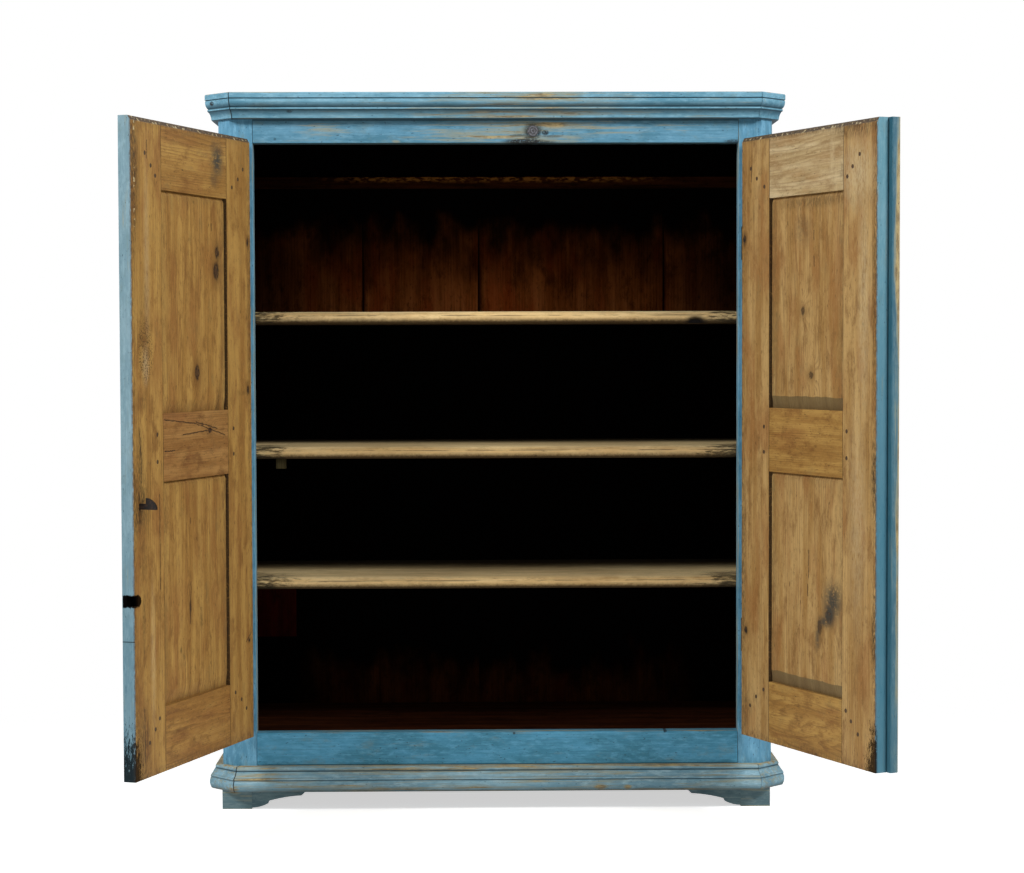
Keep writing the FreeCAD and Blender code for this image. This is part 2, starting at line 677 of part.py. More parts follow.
def peg_places(leaf, rails, edges):
    """Peg centres of the named rails beside the given edges of a leaf.

    Three pegs climb away from each corner of the leaf, and two hold the middle rail.
    """
    middle = f"{DOOR_FOOT} + middle_rail_at"
    heights = {
        "bottom_rail": [f"{DOOR_FOOT} + {z}" for z in PEG_HEIGHTS],
        "middle_rail": [f"{middle} + peg_inset", f"{middle} + door_middle_rail - peg_inset"],
        "top_rail": [f"{DOOR_HEAD} - {z}" for z in PEG_HEIGHTS],
    }
    places = []
    for rail in rails:
        steps = ("far", "far") if rail == "middle_rail" else ("near", "between", "far")
        for edge in edges:
            row = "hinge_peg" if edge == leaf.from_hinge else "meeting_peg"
            places += [(leaf.along(f"{edge} {row}_{step}"), height)
                       for step, height in zip(steps, heights[rail])]
    return places


def whittled(body, kind, places, radius, inner_end):
    """Eight-sided prisms from `inner_end` to the outer face; radius reaches their corners."""
    plane = [item for item in body.Origin.OriginFeatures if item.Role == "XZ_Plane"][0]
    for x, z in places:
        prism = body.newObject(f"PartDesign::{kind}Prism", "Peg")
        prism.AttachmentSupport = [(plane, "")]
        prism.MapMode = "FlatFace"
        prism.Polygon = PEG_SIDES
        bind(prism, "AttachmentOffset.Base.x", x)
        bind(prism, "AttachmentOffset.Base.y", z)
        bind(prism, "AttachmentOffset.Base.z", f"-({inner_end})")
        bind(prism, "Circumradius", radius)
        bind(prism, "Height", f"{inner_end} - {OUTER_FACE}")


def peg_holes(body, places):
    DOC.recompute()
    before = body.Shape.Volume
    whittled(body, "Subtractive", places, "peg_radius + joint_clearance", INNER_FACE)
    DOC.recompute()
    if body.Shape.Volume > before - LEAST_CUT:
        raise RuntimeError(f"{body.Label}: a peg hole cuts nothing")


def wear_head(body, leaf, start, end):
    """Bevel along the inner head arris."""
    DOC.recompute()
    sketch = sketch_on(body, "YZ", leaf.low_x(start, end))
    outline(sketch, [
        (INNER_FACE, f"{DOOR_HEAD} - head_bevel_height"),
        (INNER_FACE, DOOR_HEAD),
        (f"{INNER_FACE} - head_bevel_depth", DOOR_HEAD),
    ])
    cut(body, sketch, f"{end} - {start}")


def stile(leaf, name, start, end, joint_first):
    """Upright of a leaf: three mortises, a groove beside each panel and holes for the pegs."""
    body = leaf.part(name)
    free_edge, joint = (leaf.along(start), leaf.along(end))
    inwards = -leaf.side
    if joint_first:
        free_edge, joint, inwards = joint, free_edge, -inwards
    sketch = sketch_on(body, "XY", DOOR_FOOT)
    outline(sketch,
            rounded(free_edge, OUTER_FACE, inwards, 1, "arris_round", False)
            + [(joint, OUTER_FACE), (joint, INNER_FACE)]
            + rounded(free_edge, INNER_FACE, inwards, -1, "arris_round", True))
    grow(body, sketch, DOOR_HEIGHT)
    play = "joint_clearance"
    depth = "(tenon_length + mortise_spare)"
    for rail, low, height in RAILS:
        span = (start, f"{start} + {depth}") if joint_first else (f"{end} - {depth}", end)
        leaf.slot(body, *span, f"{GROOVE_LOW} - {play}", f"{GROOVE_HIGH} + {play}",
                  f"{DOOR_FOOT} + {low} + tenon_shoulder - {play}",
                  f"{height} - 2*tenon_shoulder + 2*{play}")
    for panel, low, high in PANELS:
        span = (start, f"{start} + groove_depth") if joint_first else (f"{end} - groove_depth", end)
        leaf.slot(body, *span, f"{GROOVE_LOW} - {play}", f"{GROOVE_HIGH} + {play}",
                  f"{DOOR_FOOT} + {low} - groove_depth", f"{high} - {low} + 2*groove_depth")
    peg_holes(body, peg_places(leaf, RAIL_NAMES, [leaf.from_meeting if joint_first else leaf.from_hinge]))
    wear_head(body, leaf, start, end)
    return body


def door_rail(leaf, name, low, height):
    """Rail between the stiles with a tenon at each end and grooves for the panels beside it."""
    body = leaf.part(name)
    start, end = leaf.hinge_joint, leaf.meeting_joint
    foot = f"{DOOR_FOOT} + {low}"
    leaf.board(body, f"{start} + shoulder_gap", f"{end} - shoulder_gap", OUTER_FACE, INNER_FACE, foot, height)
    leaf.board(body, f"({start} - tenon_length)", f"({end} + tenon_length)", GROOVE_LOW, GROOVE_HIGH,
               f"{foot} + tenon_shoulder", f"{height} - 2*tenon_shoulder")
    grooves = {"bottom_rail": [f"{foot} + {height} - groove_depth"],
               "middle_rail": [foot, f"{foot} + {height} - groove_depth"],
               "top_rail": [foot]}
    for z in grooves[name]:
        leaf.slot(body, start, end, f"{GROOVE_LOW} - joint_clearance", f"{GROOVE_HIGH} + joint_clearance",
                  z, "groove_depth")
    peg_holes(body, peg_places(leaf, [name], [leaf.from_hinge, leaf.from_meeting]))
    if name == "top_rail":
        wear_head(body, leaf, start, end)


def panel(leaf, name, low, high):
    """Panel held in the grooves: bevelled foot and head inside, raised and fielded outside."""
    body = leaf.part(name)
    start, end = leaf.hinge_joint, leaf.meeting_joint
    tongue = "(groove_depth - 2*joint_clearance)"
    foot, head = f"{DOOR_FOOT} + {low}", f"{DOOR_FOOT} + {high}"
    leaf.board(body, f"({start} - {tongue})", f"({end} + {tongue})", GROOVE_LOW, GROOVE_HIGH,
               f"{foot} - {tongue}", f"{high} - {low} + 2*{tongue}")
    side_start, side_end = f"({start} + panel_side_gap)", f"({end} - panel_side_gap)"
    sketch = sketch_on(body, "YZ", leaf.low_x(side_start, side_end))
    face = f"{INNER_FACE} - panel_recess"
    middle = f"{OUTER_FACE} + door_thickness/2"
    outline(sketch, [
        (middle, foot),
        (GROOVE_HIGH, foot),
        (face, f"{foot} + panel_foot_bevel"),
        (face, f"{head} - panel_head_bevel"),
        (GROOVE_HIGH, head),
        (middle, head),
    ])
    grow(body, sketch, f"{side_end} - {side_start}")
    field = []
    for level, inset in ((f"{OUTER_FACE} + panel_outer_recess", "panel_field_bevel"),
                         (GROOVE_LOW, "joint_clearance")):
        sketch = sketch_on(body, "XZ", level)
        box_outline(sketch, leaf.low_x(f"{start} + {inset}", f"({end} - {inset})"),
                    f"{foot} + {inset}", f"{end} - {start} - 2*{inset}", f"{high} - {low} - 2*{inset}")
        field.append(sketch)
    DOC.recompute()
    loft = body.newObject("PartDesign::AdditiveLoft", "RaisedField")
    loft.Profile = field[1]
    loft.Sections = [field[0]]
    loft.Ruled = True
    DOC.recompute()


def pegs(leaf):
    """The wooden pegs that lock the tenons, as one group."""
    body = leaf.part("pegs")
    places = peg_places(leaf, RAIL_NAMES, [leaf.from_hinge, leaf.from_meeting])
    whittled(body, "Additive", places, "peg_radius", f"({INNER_FACE} - peg_sink)")


def iron_catch(leaf):
    """Forged catch driven into the left meeting stile: a bar with an upturned barb."""
    body = leaf.part("iron_catch")
    base = f"({DOOR_FOOT} + catch_at)"
    sketch = sketch_on(body, "YZ", f"{leaf.end} - catch_inset")
    outline(sketch, [
        (f"{INNER_FACE} - catch_tang", f"{base} + (catch_bar - catch_tang_height)/2"),
        (INNER_FACE, f"{base}"),
        (f"{INNER_FACE} + catch_reach", f"{base}"),
        (f"{INNER_FACE} + catch_reach", f"{base} + catch_tip"),
        (f"{INNER_FACE} + catch_hollow_reach", f"{base} + catch_hollow_height", "via"),
        (f"{INNER_FACE} + catch_neck", f"{base} + catch_barb"),
        (f"{INNER_FACE} + catch_neck", f"{base} + catch_bar"),
        (INNER_FACE, f"{base} + catch_bar"),
        (f"{INNER_FACE} - catch_tang", f"{base} + (catch_bar + catch_tang_height)/2"),
    ])
    grow(body, sketch, "catch_thickness")


def cuts_for_ironwork(body, leaf):
    """Tang hole of the catch and the worn bolt hole in the left meeting stile."""
    base = f"({DOOR_FOOT} + catch_at)"
    start = f"({leaf.end} - catch_inset - joint_clearance)"
    leaf.slot(body, start, f"({start} + catch_thickness + 2*joint_clearance)",
              f"{INNER_FACE} - catch_tang - joint_clearance", INNER_FACE,
              f"{base} - joint_clearance", "catch_bar + 2*joint_clearance")
    leaf.slot(body, f"({leaf.end} - lock_hole_depth)", leaf.end,
              f"{INNER_FACE} - lock_hole_width", INNER_FACE,
              f"{DOOR_FOOT} + lock_hole_at", "lock_hole_height")


def cover_strip(leaf):
    """Strip planted on the right leaf; its rounded lip laps the left leaf when both are shut."""
    body = leaf.part("cover_strip")
    tip = f"({leaf.end} + strip_lip)"
    root = f"({leaf.end} + strip_lip - strip_width)"
    front = f"({OUTER_FACE} - strip_thickness)"
    back = f"{OUTER_FACE} - strip_relief"
    inner_edge = f"{leaf.end} - arris_round"
    sketch = sketch_on(body, "XY", DOOR_FOOT)
    outline(sketch,
            [(leaf.along(root), OUTER_FACE)]
            + rounded(leaf.along(root), front, -leaf.side, 1, "strip_round", False)
            + rounded(leaf.along(tip), front, leaf.side, 1, "strip_round", True)
            + [(leaf.along(tip), back), (leaf.along(inner_edge), back), (leaf.along(inner_edge), OUTER_FACE)])
    grow(body, sketch, DOOR_HEIGHT)


def hinge_slots(body, leaf):
    play = "joint_clearance"
    for middle in HINGE_HEIGHTS:
        leaf.slot(body, LEAF_START, f"(strap_reach + {play})",
                  f"-(strap_thickness/2 + {play})", f"(strap_thickness/2 + {play})",
                  f"{middle} + barrel_play + strap_margin - {play}",
                  f"barrel_length - 2*strap_margin + 2*{play}")


# ---------------------------------------------------------------- hinges
def frame_hinges(side, label):
    """Lower barrels with their pins and the leaves let into the post, as one group."""
    body = new_body(label, f"{side}*{HINGE_X}", "-hinge_stand")
    for middle in HINGE_HEIGHTS:
        for radius, height in (("barrel_radius", "barrel_length"),
                               ("pin_radius", "2*barrel_length + barrel_play - barrel_cap - pin_end_gap")):
            sketch = sketch_on(body, "XY", f"{middle} - barrel_length")
            discs(sketch, [("0", "0")], radius)
            grow(body, sketch, height)
        board(body, "-strap_thickness/2", "0", f"{middle} - barrel_length + strap_margin",
              "strap_thickness", "strap_reach", "barrel_length - 2*strap_margin")


def door_hinges(leaf):
    """Upper barrels, bored for the pins, with the leaves let into the stile, as one group."""
    body = leaf.part("hinges")
    bore = "(pin_radius + pin_clearance)"
    for middle in HINGE_HEIGHTS:
        foot = f"{middle} + barrel_play"
        sketch = sketch_on(body, "XY", foot)
        discs(sketch, [("0", "0")], "barrel_radius")
        grow(body, sketch, "barrel_length")
        leaf.board(body, f"({bore} + barrel_radius)/2", "strap_reach",
                   "-strap_thickness/2", "strap_thickness/2",
                   f"{foot} + strap_margin", "barrel_length - 2*strap_margin")
        DOC.recompute()
        sketch = sketch_on(body, "XY", foot)
        discs(sketch, [("0", "0")], bore)
        cut(body, sketch, "barrel_length - barrel_cap")


def door(leaf):
    hinge_stile = stile(leaf, "hinge_stile", LEAF_START, leaf.hinge_joint, False)
    hinge_slots(hinge_stile, leaf)
    meeting_stile = stile(leaf, "meeting_stile", leaf.meeting_joint, leaf.end, True)
    if leaf.side == LEFT:
        cuts_for_ironwork(meeting_stile, leaf)
    for name, low, height in RAILS:
        door_rail(leaf, name, low, height)
    for name, low, high in PANELS:
        panel(leaf, name, low, high)
    pegs(leaf)
    door_hinges(leaf)


# ---------------------------------------------------------------- the cupboard
def build_carcass():
    for side, word in ((LEFT, "left"), (RIGHT, "right")):
        post(side, f"{word}_post")
        side_board(side, f"{word}_side_board")
        foot(side, word, "front", "foot_setback")
        foot(side, word, "rear", "carcass_depth - foot_setback - foot_width")
        bracket(side, word)
        frame_hinges(side, f"{word}_frame_hinges")
    frame_rail("bottom_frame_rail", "foot_height", OPENING_BOTTOM, "sill_round", None)
    frame_rail("top_frame_rail", OPENING_TOP, CARCASS_TOP, None, "arris_round")
    floor_board("front_floor_board", "frame_thickness", "floor_split")
    floor_board("rear_floor_board", "(frame_thickness + floor_split + board_gap)",
                f"{BACK} - frame_thickness - floor_split - board_gap")
    joints = ["back_joint_left", "back_joint_middle", "back_joint_right"]
    lows = [f"-{HALF_WIDTH}"] + [f"({joint} + board_gap/2)" for joint in joints]
    highs = [f"({joint} - board_gap/2)" for joint in joints] + [HALF_WIDTH]
    for number, (low, high) in enumerate(zip(lows, highs), start=1):
        back_board(f"back_board_{number}", low, high, number > 1, number < len(lows))
    shelf("low_shelf", LOW_SHELF)
    shelf("middle_shelf", MIDDLE_SHELF)
    knot_hole(shelf("high_shelf", HIGH_SHELF))
    top_board("front_top_board", "0", "top_split", True)
    top_board("rear_top_board", "(top_split + board_gap)", "(carcass_depth - top_split - board_gap)", False)
    inner_fittings()
    moulding_round("cornice", CORNICE_SECTION, "(overall_height - cornice_height)",
                   "cornice_height - top_thickness")
    moulding_round("base", BASE_SECTION, "foot_height", "base_height")


def build_doors():
    left = Leaf(LEFT, "left", LEFT_END)
    right = Leaf(RIGHT, "right", RIGHT_END)
    door(left)
    door(right)
    iron_catch(left)
    cover_strip(right)


def check_and_write():
    """Stop on any failed object or bad shape, then write one STEP file for each piece."""
    DOC.recompute()
    failed = [item.Label for item in DOC.Objects if {"Invalid", "Error"} & set(item.State)]
    bad = [body.Label for body in PARTS if body.Shape.isNull() or not body.Shape.isValid()]
    if failed or bad:
        raise RuntimeError(f"failed objects {failed}, bad shapes {bad}")
    os.makedirs("parts", exist_ok=True)
    for body in PARTS:
        body.Shape.exportStep(f"parts/{body.Label}.step")
        print(f"{body.Label}: {len(body.Shape.Solids)} solid(s), {body.Shape.Volume / 1000:.1f} cm3")


build_carcass()
build_doors()
check_and_write()
print(f"{len(PARTS)} pieces")
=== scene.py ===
# %% [markdown]
# # An old painted kas, doors open
# The cupboard's timber is already built: every board, moulding, hinge and peg comes in as a finished
# shape. What is left to make here is what the years did to it: milk paint worn back to the wood, the
# honey colour of bare pine, soot-dark boards inside with painted shade over them, knots, nails and iron.

# %% The timber
import json
import math

import bpy
from mathutils import Matrix, Vector


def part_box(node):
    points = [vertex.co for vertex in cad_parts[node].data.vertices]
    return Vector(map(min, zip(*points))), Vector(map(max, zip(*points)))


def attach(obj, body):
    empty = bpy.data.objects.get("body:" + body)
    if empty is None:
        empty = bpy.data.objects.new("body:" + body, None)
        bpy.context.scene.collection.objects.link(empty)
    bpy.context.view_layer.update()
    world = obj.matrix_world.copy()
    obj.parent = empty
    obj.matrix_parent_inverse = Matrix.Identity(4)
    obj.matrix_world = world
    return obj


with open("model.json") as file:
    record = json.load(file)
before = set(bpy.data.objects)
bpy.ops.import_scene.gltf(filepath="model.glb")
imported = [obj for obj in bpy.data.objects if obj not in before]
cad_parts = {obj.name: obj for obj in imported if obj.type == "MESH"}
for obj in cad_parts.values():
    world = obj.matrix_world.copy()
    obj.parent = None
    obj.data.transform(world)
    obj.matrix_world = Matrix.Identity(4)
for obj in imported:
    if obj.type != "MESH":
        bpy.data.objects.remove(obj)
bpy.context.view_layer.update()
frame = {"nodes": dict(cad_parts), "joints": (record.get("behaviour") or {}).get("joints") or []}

MM = 0.001
NODES = frame["nodes"]
JOINTS = {joint["child"]: joint for joint in frame["joints"]}
bpy.ops.object.select_all(action="DESELECT")

# %% [markdown]
# ## Colours and nodes
# A hex colour is what a screen shows, while a shader works in linear light, so one function converts.
# Every material below is a node graph written in code. One helper adds a node, fills its sockets and
# hands back the output that the next node needs; a socket takes either a number or another output.
# A weathered colour is built up the way it came about, layer over layer: wood, stain, paint, dirt.
# So a second helper lays any number of coats over a colour, each with a mask that says where it shows.

# %% Linear colour and the node helper
def linear(hex_code):
    channels = [int(hex_code[i:i + 2], 16) / 255 for i in (1, 3, 5)]
    bent = [c / 12.92 if c <= 0.04045 else ((c + 0.055) / 1.055) ** 2.4 for c in channels]
    return (*bent, 1.0)


def add(tree, kind, *values, out=0, **settings):
    """Adds one shader node, fills its sockets and returns one of its outputs, if it has any. Values go
    to the sockets in order; a dict in their place says which socket gets what."""
    new = tree.nodes.new("ShaderNode" + kind)
    for name, value in settings.items():
        setattr(new, name, value)
    sockets = values[0] if values and isinstance(values[0], dict) else dict(enumerate(values))
    for key, value in sockets.items():
        if isinstance(value, bpy.types.NodeSocket):
            tree.links.new(value, new.inputs[key])
        else:
            new.inputs[key].default_value = value
    return new.outputs[out] if new.outputs else None


def layered(tree, colour, *coats):
    """Lays coats over a colour, the last one on top; a coat is (how much of it shows, its colour)."""
    for share, coat in coats:
        over = linear(coat) if isinstance(coat, str) else coat
        colour = add(tree, "Mix", {0: share, 6: colour, 7: over}, out=2, data_type="RGBA")
    return colour


print("linear value of the paint's middle blue:", [round(c, 3) for c in linear("#5f90a6")])

# %% [markdown]
# ## Where a point is on its board
# Wood looks like wood only if its pattern follows the board. So each material first turns the point
# being shaded into three distances in millimetres: across the grain, through the thickness and along
# the grain. Carcass pieces lie square to the room, and the order of the axes is all they need. A door
# leaf stands open at an angle, so a Mapping node first turns it back to its own hinge axis: the first
# distance is then how far the point is from the axis, on either leaf.

# %% Places in millimetres
# Which axis runs across, through and along the grain: for an upright board, a rail, the length of a
# moulding that goes back along the side, and a board that lies flat.
ACROSS_X, ACROSS_Z, RETURN_GRAIN, LYING = (0, 1, 2), (2, 1, 0), (2, 0, 1), (1, 2, 0)


def carcass_place(tree):
    point = add(tree, "TexCoord", out="Object")
    return add(tree, "VectorMath", {0: point, 3: 1 / MM}, operation="SCALE")


def leaf_place(tree, body):
    joint = JOINTS[body]
    side = -1 if joint["axis"][2] > 0 else 1
    turn = side * math.radians(joint["range_deg"][0])
    point = add(tree, "TexCoord", out="Object")
    return add(tree, "Mapping", {
        "Vector": point,
        "Location": (joint["pos_m"][0], joint["pos_m"][1], 0),
        "Rotation": (0, 0, turn),
        "Scale": (side * MM, MM, MM),
    }, vector_type="TEXTURE")


def with_grain(tree, place, order):
    """Puts the three distances in the order across, through, along."""
    parts = [add(tree, "SeparateXYZ", place, out=axis) for axis in range(3)]
    across, through, along = (parts[axis] for axis in order)
    return add(tree, "CombineXYZ", across, through, along), parts


# %% [markdown]
# ## Patterns
# Four small patterns do most of the work. Streaks are noise stretched along the grain. A band is a
# soft step: 0 below one value and 1 above another. Marks are soft ellipses at chosen places, for knots,
# worn patches and dirt that belong to one spot on one board. And what collects or wears along an edge
# is drawn by how near a point is to that edge's plane.

# %% Streaks, bands, marks and edges
def streaks(tree, grain, across, along, detail=3.0, roughness=0.55, offset=0.0):
    shrunk = add(tree, "VectorMath", grain, (1 / across, 1 / across, 1 / along), (offset,) * 3,
                 operation="MULTIPLY_ADD")
    return add(tree, "TexNoise",
               {"Vector": shrunk, "Scale": 1.0, "Detail": detail, "Roughness": roughness})


def band(tree, value, low, high, top=1.0):
    return add(tree, "MapRange", {"Value": value, "From Min": low, "From Max": high, "To Max": top},
               interpolation_type="SMOOTHSTEP")


def marks(tree, place, spots, soft=0.5):
    """1 inside each ellipse and 0 outside; a spot is (centre, radii, strength) in millimetres."""
    total = None
    for centre, radii, strength in spots:
        shift = [-c / r for c, r in zip(centre, radii)]
        local = add(tree, "VectorMath", place, [1 / r for r in radii], shift, operation="MULTIPLY_ADD")
        away = add(tree, "VectorMath", local, out="Value", operation="LENGTH")
        spot = band(tree, away, 1 + soft, 1 - soft, strength)
        total = spot if total is None else add(tree, "Math", total, spot, operation="MAXIMUM")
    return total


def distance(tree, value, level):
    return add(tree, "Math", add(tree, "Math", value, level, operation="SUBTRACT"), operation="ABSOLUTE")


def near(tree, parts, lines, width):
    """1 on the given planes and 0 `width` away; a line is (axis, millimetres)."""
    total = None
    for axis, level in lines:
        close = band(tree, distance(tree, parts[axis], level), width, 0)
        total = close if total is None else add(tree, "Math", total, close, operation="MAXIMUM")
    return total


# %% Starting and ending a material
def new_material(name):
    material = bpy.data.materials.new(name)
    material.use_nodes = True
    material.node_tree.nodes.clear()
    return material, material.node_tree


def surface(tree, colour, roughness, height, metallic=0.0, specular=0.5, charred=None):
    """Ends a graph: height is in millimetres, and nothing shines where `charred` is 1."""
    bump = add(tree, "Bump", {"Height": height, "Distance": MM, "Strength": 1.0})
    shader = add(tree, "BsdfPrincipled",
                 {"Base Color": colour, "Roughness": roughness, "Metallic": metallic,
                  "Specular IOR Level": specular, "Normal": bump})
    if charred is not None:
        shine = add(tree, "Math", charred, -specular, specular, operation="MULTIPLY_ADD")
        tree.links.new(shine, shader.node.inputs["Specular IOR Level"])
    add(tree, "OutputMaterial", {"Surface": shader})


print("patterns ready")

# %% [markdown]
# ## Bare pine
# Old pine that was never painted goes from straw to honey brown. The eye reads it by its growth rings:
# a soft pale band of spring wood, then a darker and sharper line of summer wood every few millimetres.
# On a board these are long wavering lines. They are made by counting how far across the board a point
# is, adding a slow wobble, and taking the fraction. A little wobble gives the straight grain of a
# stile, and more of it the flames of a wide panel. Knots push the lines aside and are dark themselves.
# Over the rings lie fibres, stains and small dents, which a hundred years of use leave on any board.

# %% Colours of pine
def palette(*codes):
    return dict(zip(("pale", "honey", "brown", "line", "red", "grey"), codes))


PINE = palette("#b58e4c", "#987037", "#795126", "#66431f", "#8d5e30", "#7e683e")
RUDDY_PINE = palette("#a87e48", "#8c6232", "#6a4522", "#57371a", "#7f4d28", "#735c3a")
PALE_PINE = palette("#d2bc92", "#b59b6e", "#937650", "#82643c", "#a58152", "#9a8a68")
FAIR_PINE = palette("#be9b63", "#9f7943", "#7d582d", "#6f4e28", "#956434", "#85714a")
GOLDEN_PINE = palette("#ad8444", "#8f6530", "#714b21", "#5f3c19", "#8a5a2b", "#755f38")
SHELF_PINE = palette("#e2c894", "#c09f68", "#94723f", "#7c5e33", "#a57e4a", "#8d7d61")


# %% Growth rings
def growth_rings(tree, grain, ring_width, figure, knots, seed):
    """1 on the summer lines and 0 between them; figure is how far they wander, from 0 to 1."""
    parts = [add(tree, "SeparateXYZ", grain, out=axis) for axis in range(3)]
    wander = streaks(tree, grain, 110, 700, detail=1, offset=seed)
    waver = streaks(tree, grain, 14, 240, detail=2, offset=seed + 7)
    count = add(tree, "Math", parts[0], 1 / ring_width,
                add(tree, "Math", wander, 26 * figure, operation="MULTIPLY"), operation="MULTIPLY_ADD")
    count = add(tree, "Math", waver, 0.8 + 1.6 * figure, count, operation="MULTIPLY_ADD")
    count = add(tree, "Math", parts[1], 0.35 / ring_width, count, operation="MULTIPLY_ADD")
    if knots:
        pushed = marks(tree, grain, [(c, [r * 3 for r in radii], 1.0) for c, radii, _ in knots], 0.95)
        count = add(tree, "Math", pushed, 3.5, count, operation="MULTIPLY_ADD")
    ring = add(tree, "Math", count, operation="FRACT")
    summer = add(tree, "Math", band(tree, ring, 0.3, 0.86), band(tree, ring, 1.0, 0.9),
                 operation="MULTIPLY")
    density = band(tree, streaks(tree, grain, 22, 300, detail=1, offset=seed + 29), 0.35, 0.62)
    return add(tree, "Math", summer, density, operation="MULTIPLY")


# %% Fibre, stains and knots
def bare_pine(tree, grain, tones, ring_width, figure, knots=(), seed=0.0):
    """Returns colour and height of bare pine."""
    summer = growth_rings(tree, grain, ring_width, figure, knots, seed)
    tone = streaks(tree, grain, 26, 380, detail=4, roughness=0.62, offset=seed + 3)
    fibre = streaks(tree, grain, 2.2, 110, detail=4, roughness=0.68, offset=seed + 11)
    stain = streaks(tree, grain, 34, 80, detail=6, roughness=0.72, offset=seed + 19)
    flush = streaks(tree, grain, 60, 200, detail=4, offset=seed + 37)
    mottle = streaks(tree, grain, 8, 19, detail=5, roughness=0.78, offset=seed + 53)
    fleck = streaks(tree, grain, 2.6, 19, detail=2, offset=seed + 23)
    colour = layered(tree, linear(tones["honey"]),
                     (band(tree, tone, 0.36, 0.64), tones["pale"]),
                     (band(tree, stain, 0.48, 0.68, 0.75), tones["brown"]),
                     (band(tree, flush, 0.48, 0.66, 0.6), tones["red"]),
                     (band(tree, stain, 0.45, 0.3, 0.45), tones["grey"]),
                     (add(tree, "Math", summer, 0.24 + 0.3 * figure, operation="MULTIPLY"), tones["line"]),
                     (band(tree, fibre, 0.52, 0.72, 0.5), tones["brown"]),
                     (band(tree, fibre, 0.47, 0.3, 0.4), tones["pale"]),
                     (band(tree, mottle, 0.53, 0.7, 0.55), tones["line"]),
                     (band(tree, mottle, 0.46, 0.3, 0.45), tones["pale"]),
                     (band(tree, fleck, 0.66, 0.74, 0.75), "#35210f"))
    height = add(tree, "Math", summer, 0.12, add(tree, "Math", fibre, 0.5, operation="MULTIPLY"),
                 operation="MULTIPLY_ADD")
    height = add(tree, "Math", mottle, 0.35, height, operation="MULTIPLY_ADD")
    if knots:
        rim = streaks(tree, grain, 5, 9, detail=4, offset=seed + 43)
        bumpy = add(tree, "Math", rim, 12.0, -6.0, operation="MULTIPLY_ADD")
        shifted = add(tree, "VectorMath", grain, add(tree, "CombineXYZ", {0: bumpy, 2: bumpy}),
                      operation="ADD")
        halo = marks(tree, shifted, [(c, [r * 1.9 for r in radii], s * 0.6) for c, radii, s in knots], 0.75)
        core = marks(tree, shifted, knots, 0.3)
        heart = marks(tree, grain, [(c, [r * 0.45 for r in radii], s) for c, radii, s in knots], 0.4)
        broken = add(tree, "Math", core, band(tree, rim, 0.22, 0.5), operation="MULTIPLY")
        colour = layered(tree, colour,
                         (halo, tones["line"]),
                         (broken, "#2a1c12"),
                         (add(tree, "Math", heart, 0.55, operation="MULTIPLY"), "#5b4128"))
        height = add(tree, "Math", broken, -0.6, height, operation="MULTIPLY_ADD")
    return colour, height


print("bare pine in", ", ".join(PINE))

# %% [markdown]
# ## Milk paint
# The outside was painted once in a blue milk paint, brushed along the grain. Such paint is thin and
# chalky: it shows the brush, fades unevenly and goes greenish where it is dirty. It doesn't flake but
# rubs thin, so between sound paint and bare ochre wood there is always a grey-green stage. Where it
# goes is noise stretched along the grain, helped by masks at the arrises that hands and linen touch.

# %% Blue paint with its wear
BLUE = {"light": "#6d9eb8", "middle": "#568aa4", "deep": "#407287"}
CORNICE_BLUE = {"light": "#8dbbcf", "middle": "#70a2b8", "deep": "#53879d"}
SILL_BLUE = {"light": "#63a6c7", "middle": "#4c92b3", "deep": "#36768e"}
POST_BLUE = {"light": "#7aafca", "middle": "#5e95b2", "deep": "#477c95"}
BASE_BLUE = {"light": "#a0bfcb", "middle": "#7da2b1", "deep": "#608899"}
FOOT_BLUE = {"light": "#7b8e90", "middle": "#5f7a80", "deep": "#47626b"}
EDGE_BLUE = {"left": {"light": "#8dabb6", "middle": "#809ca7", "deep": "#6d8c98"},
             "right": {"light": "#749ba8", "middle": "#6793a2", "deep": "#568797"}}
# Between these two heights the edge paint turns deeper, up to this share.
DEEPER = {"left": (900, 300, 0.3), "right": (1400, 750, 0.62)}


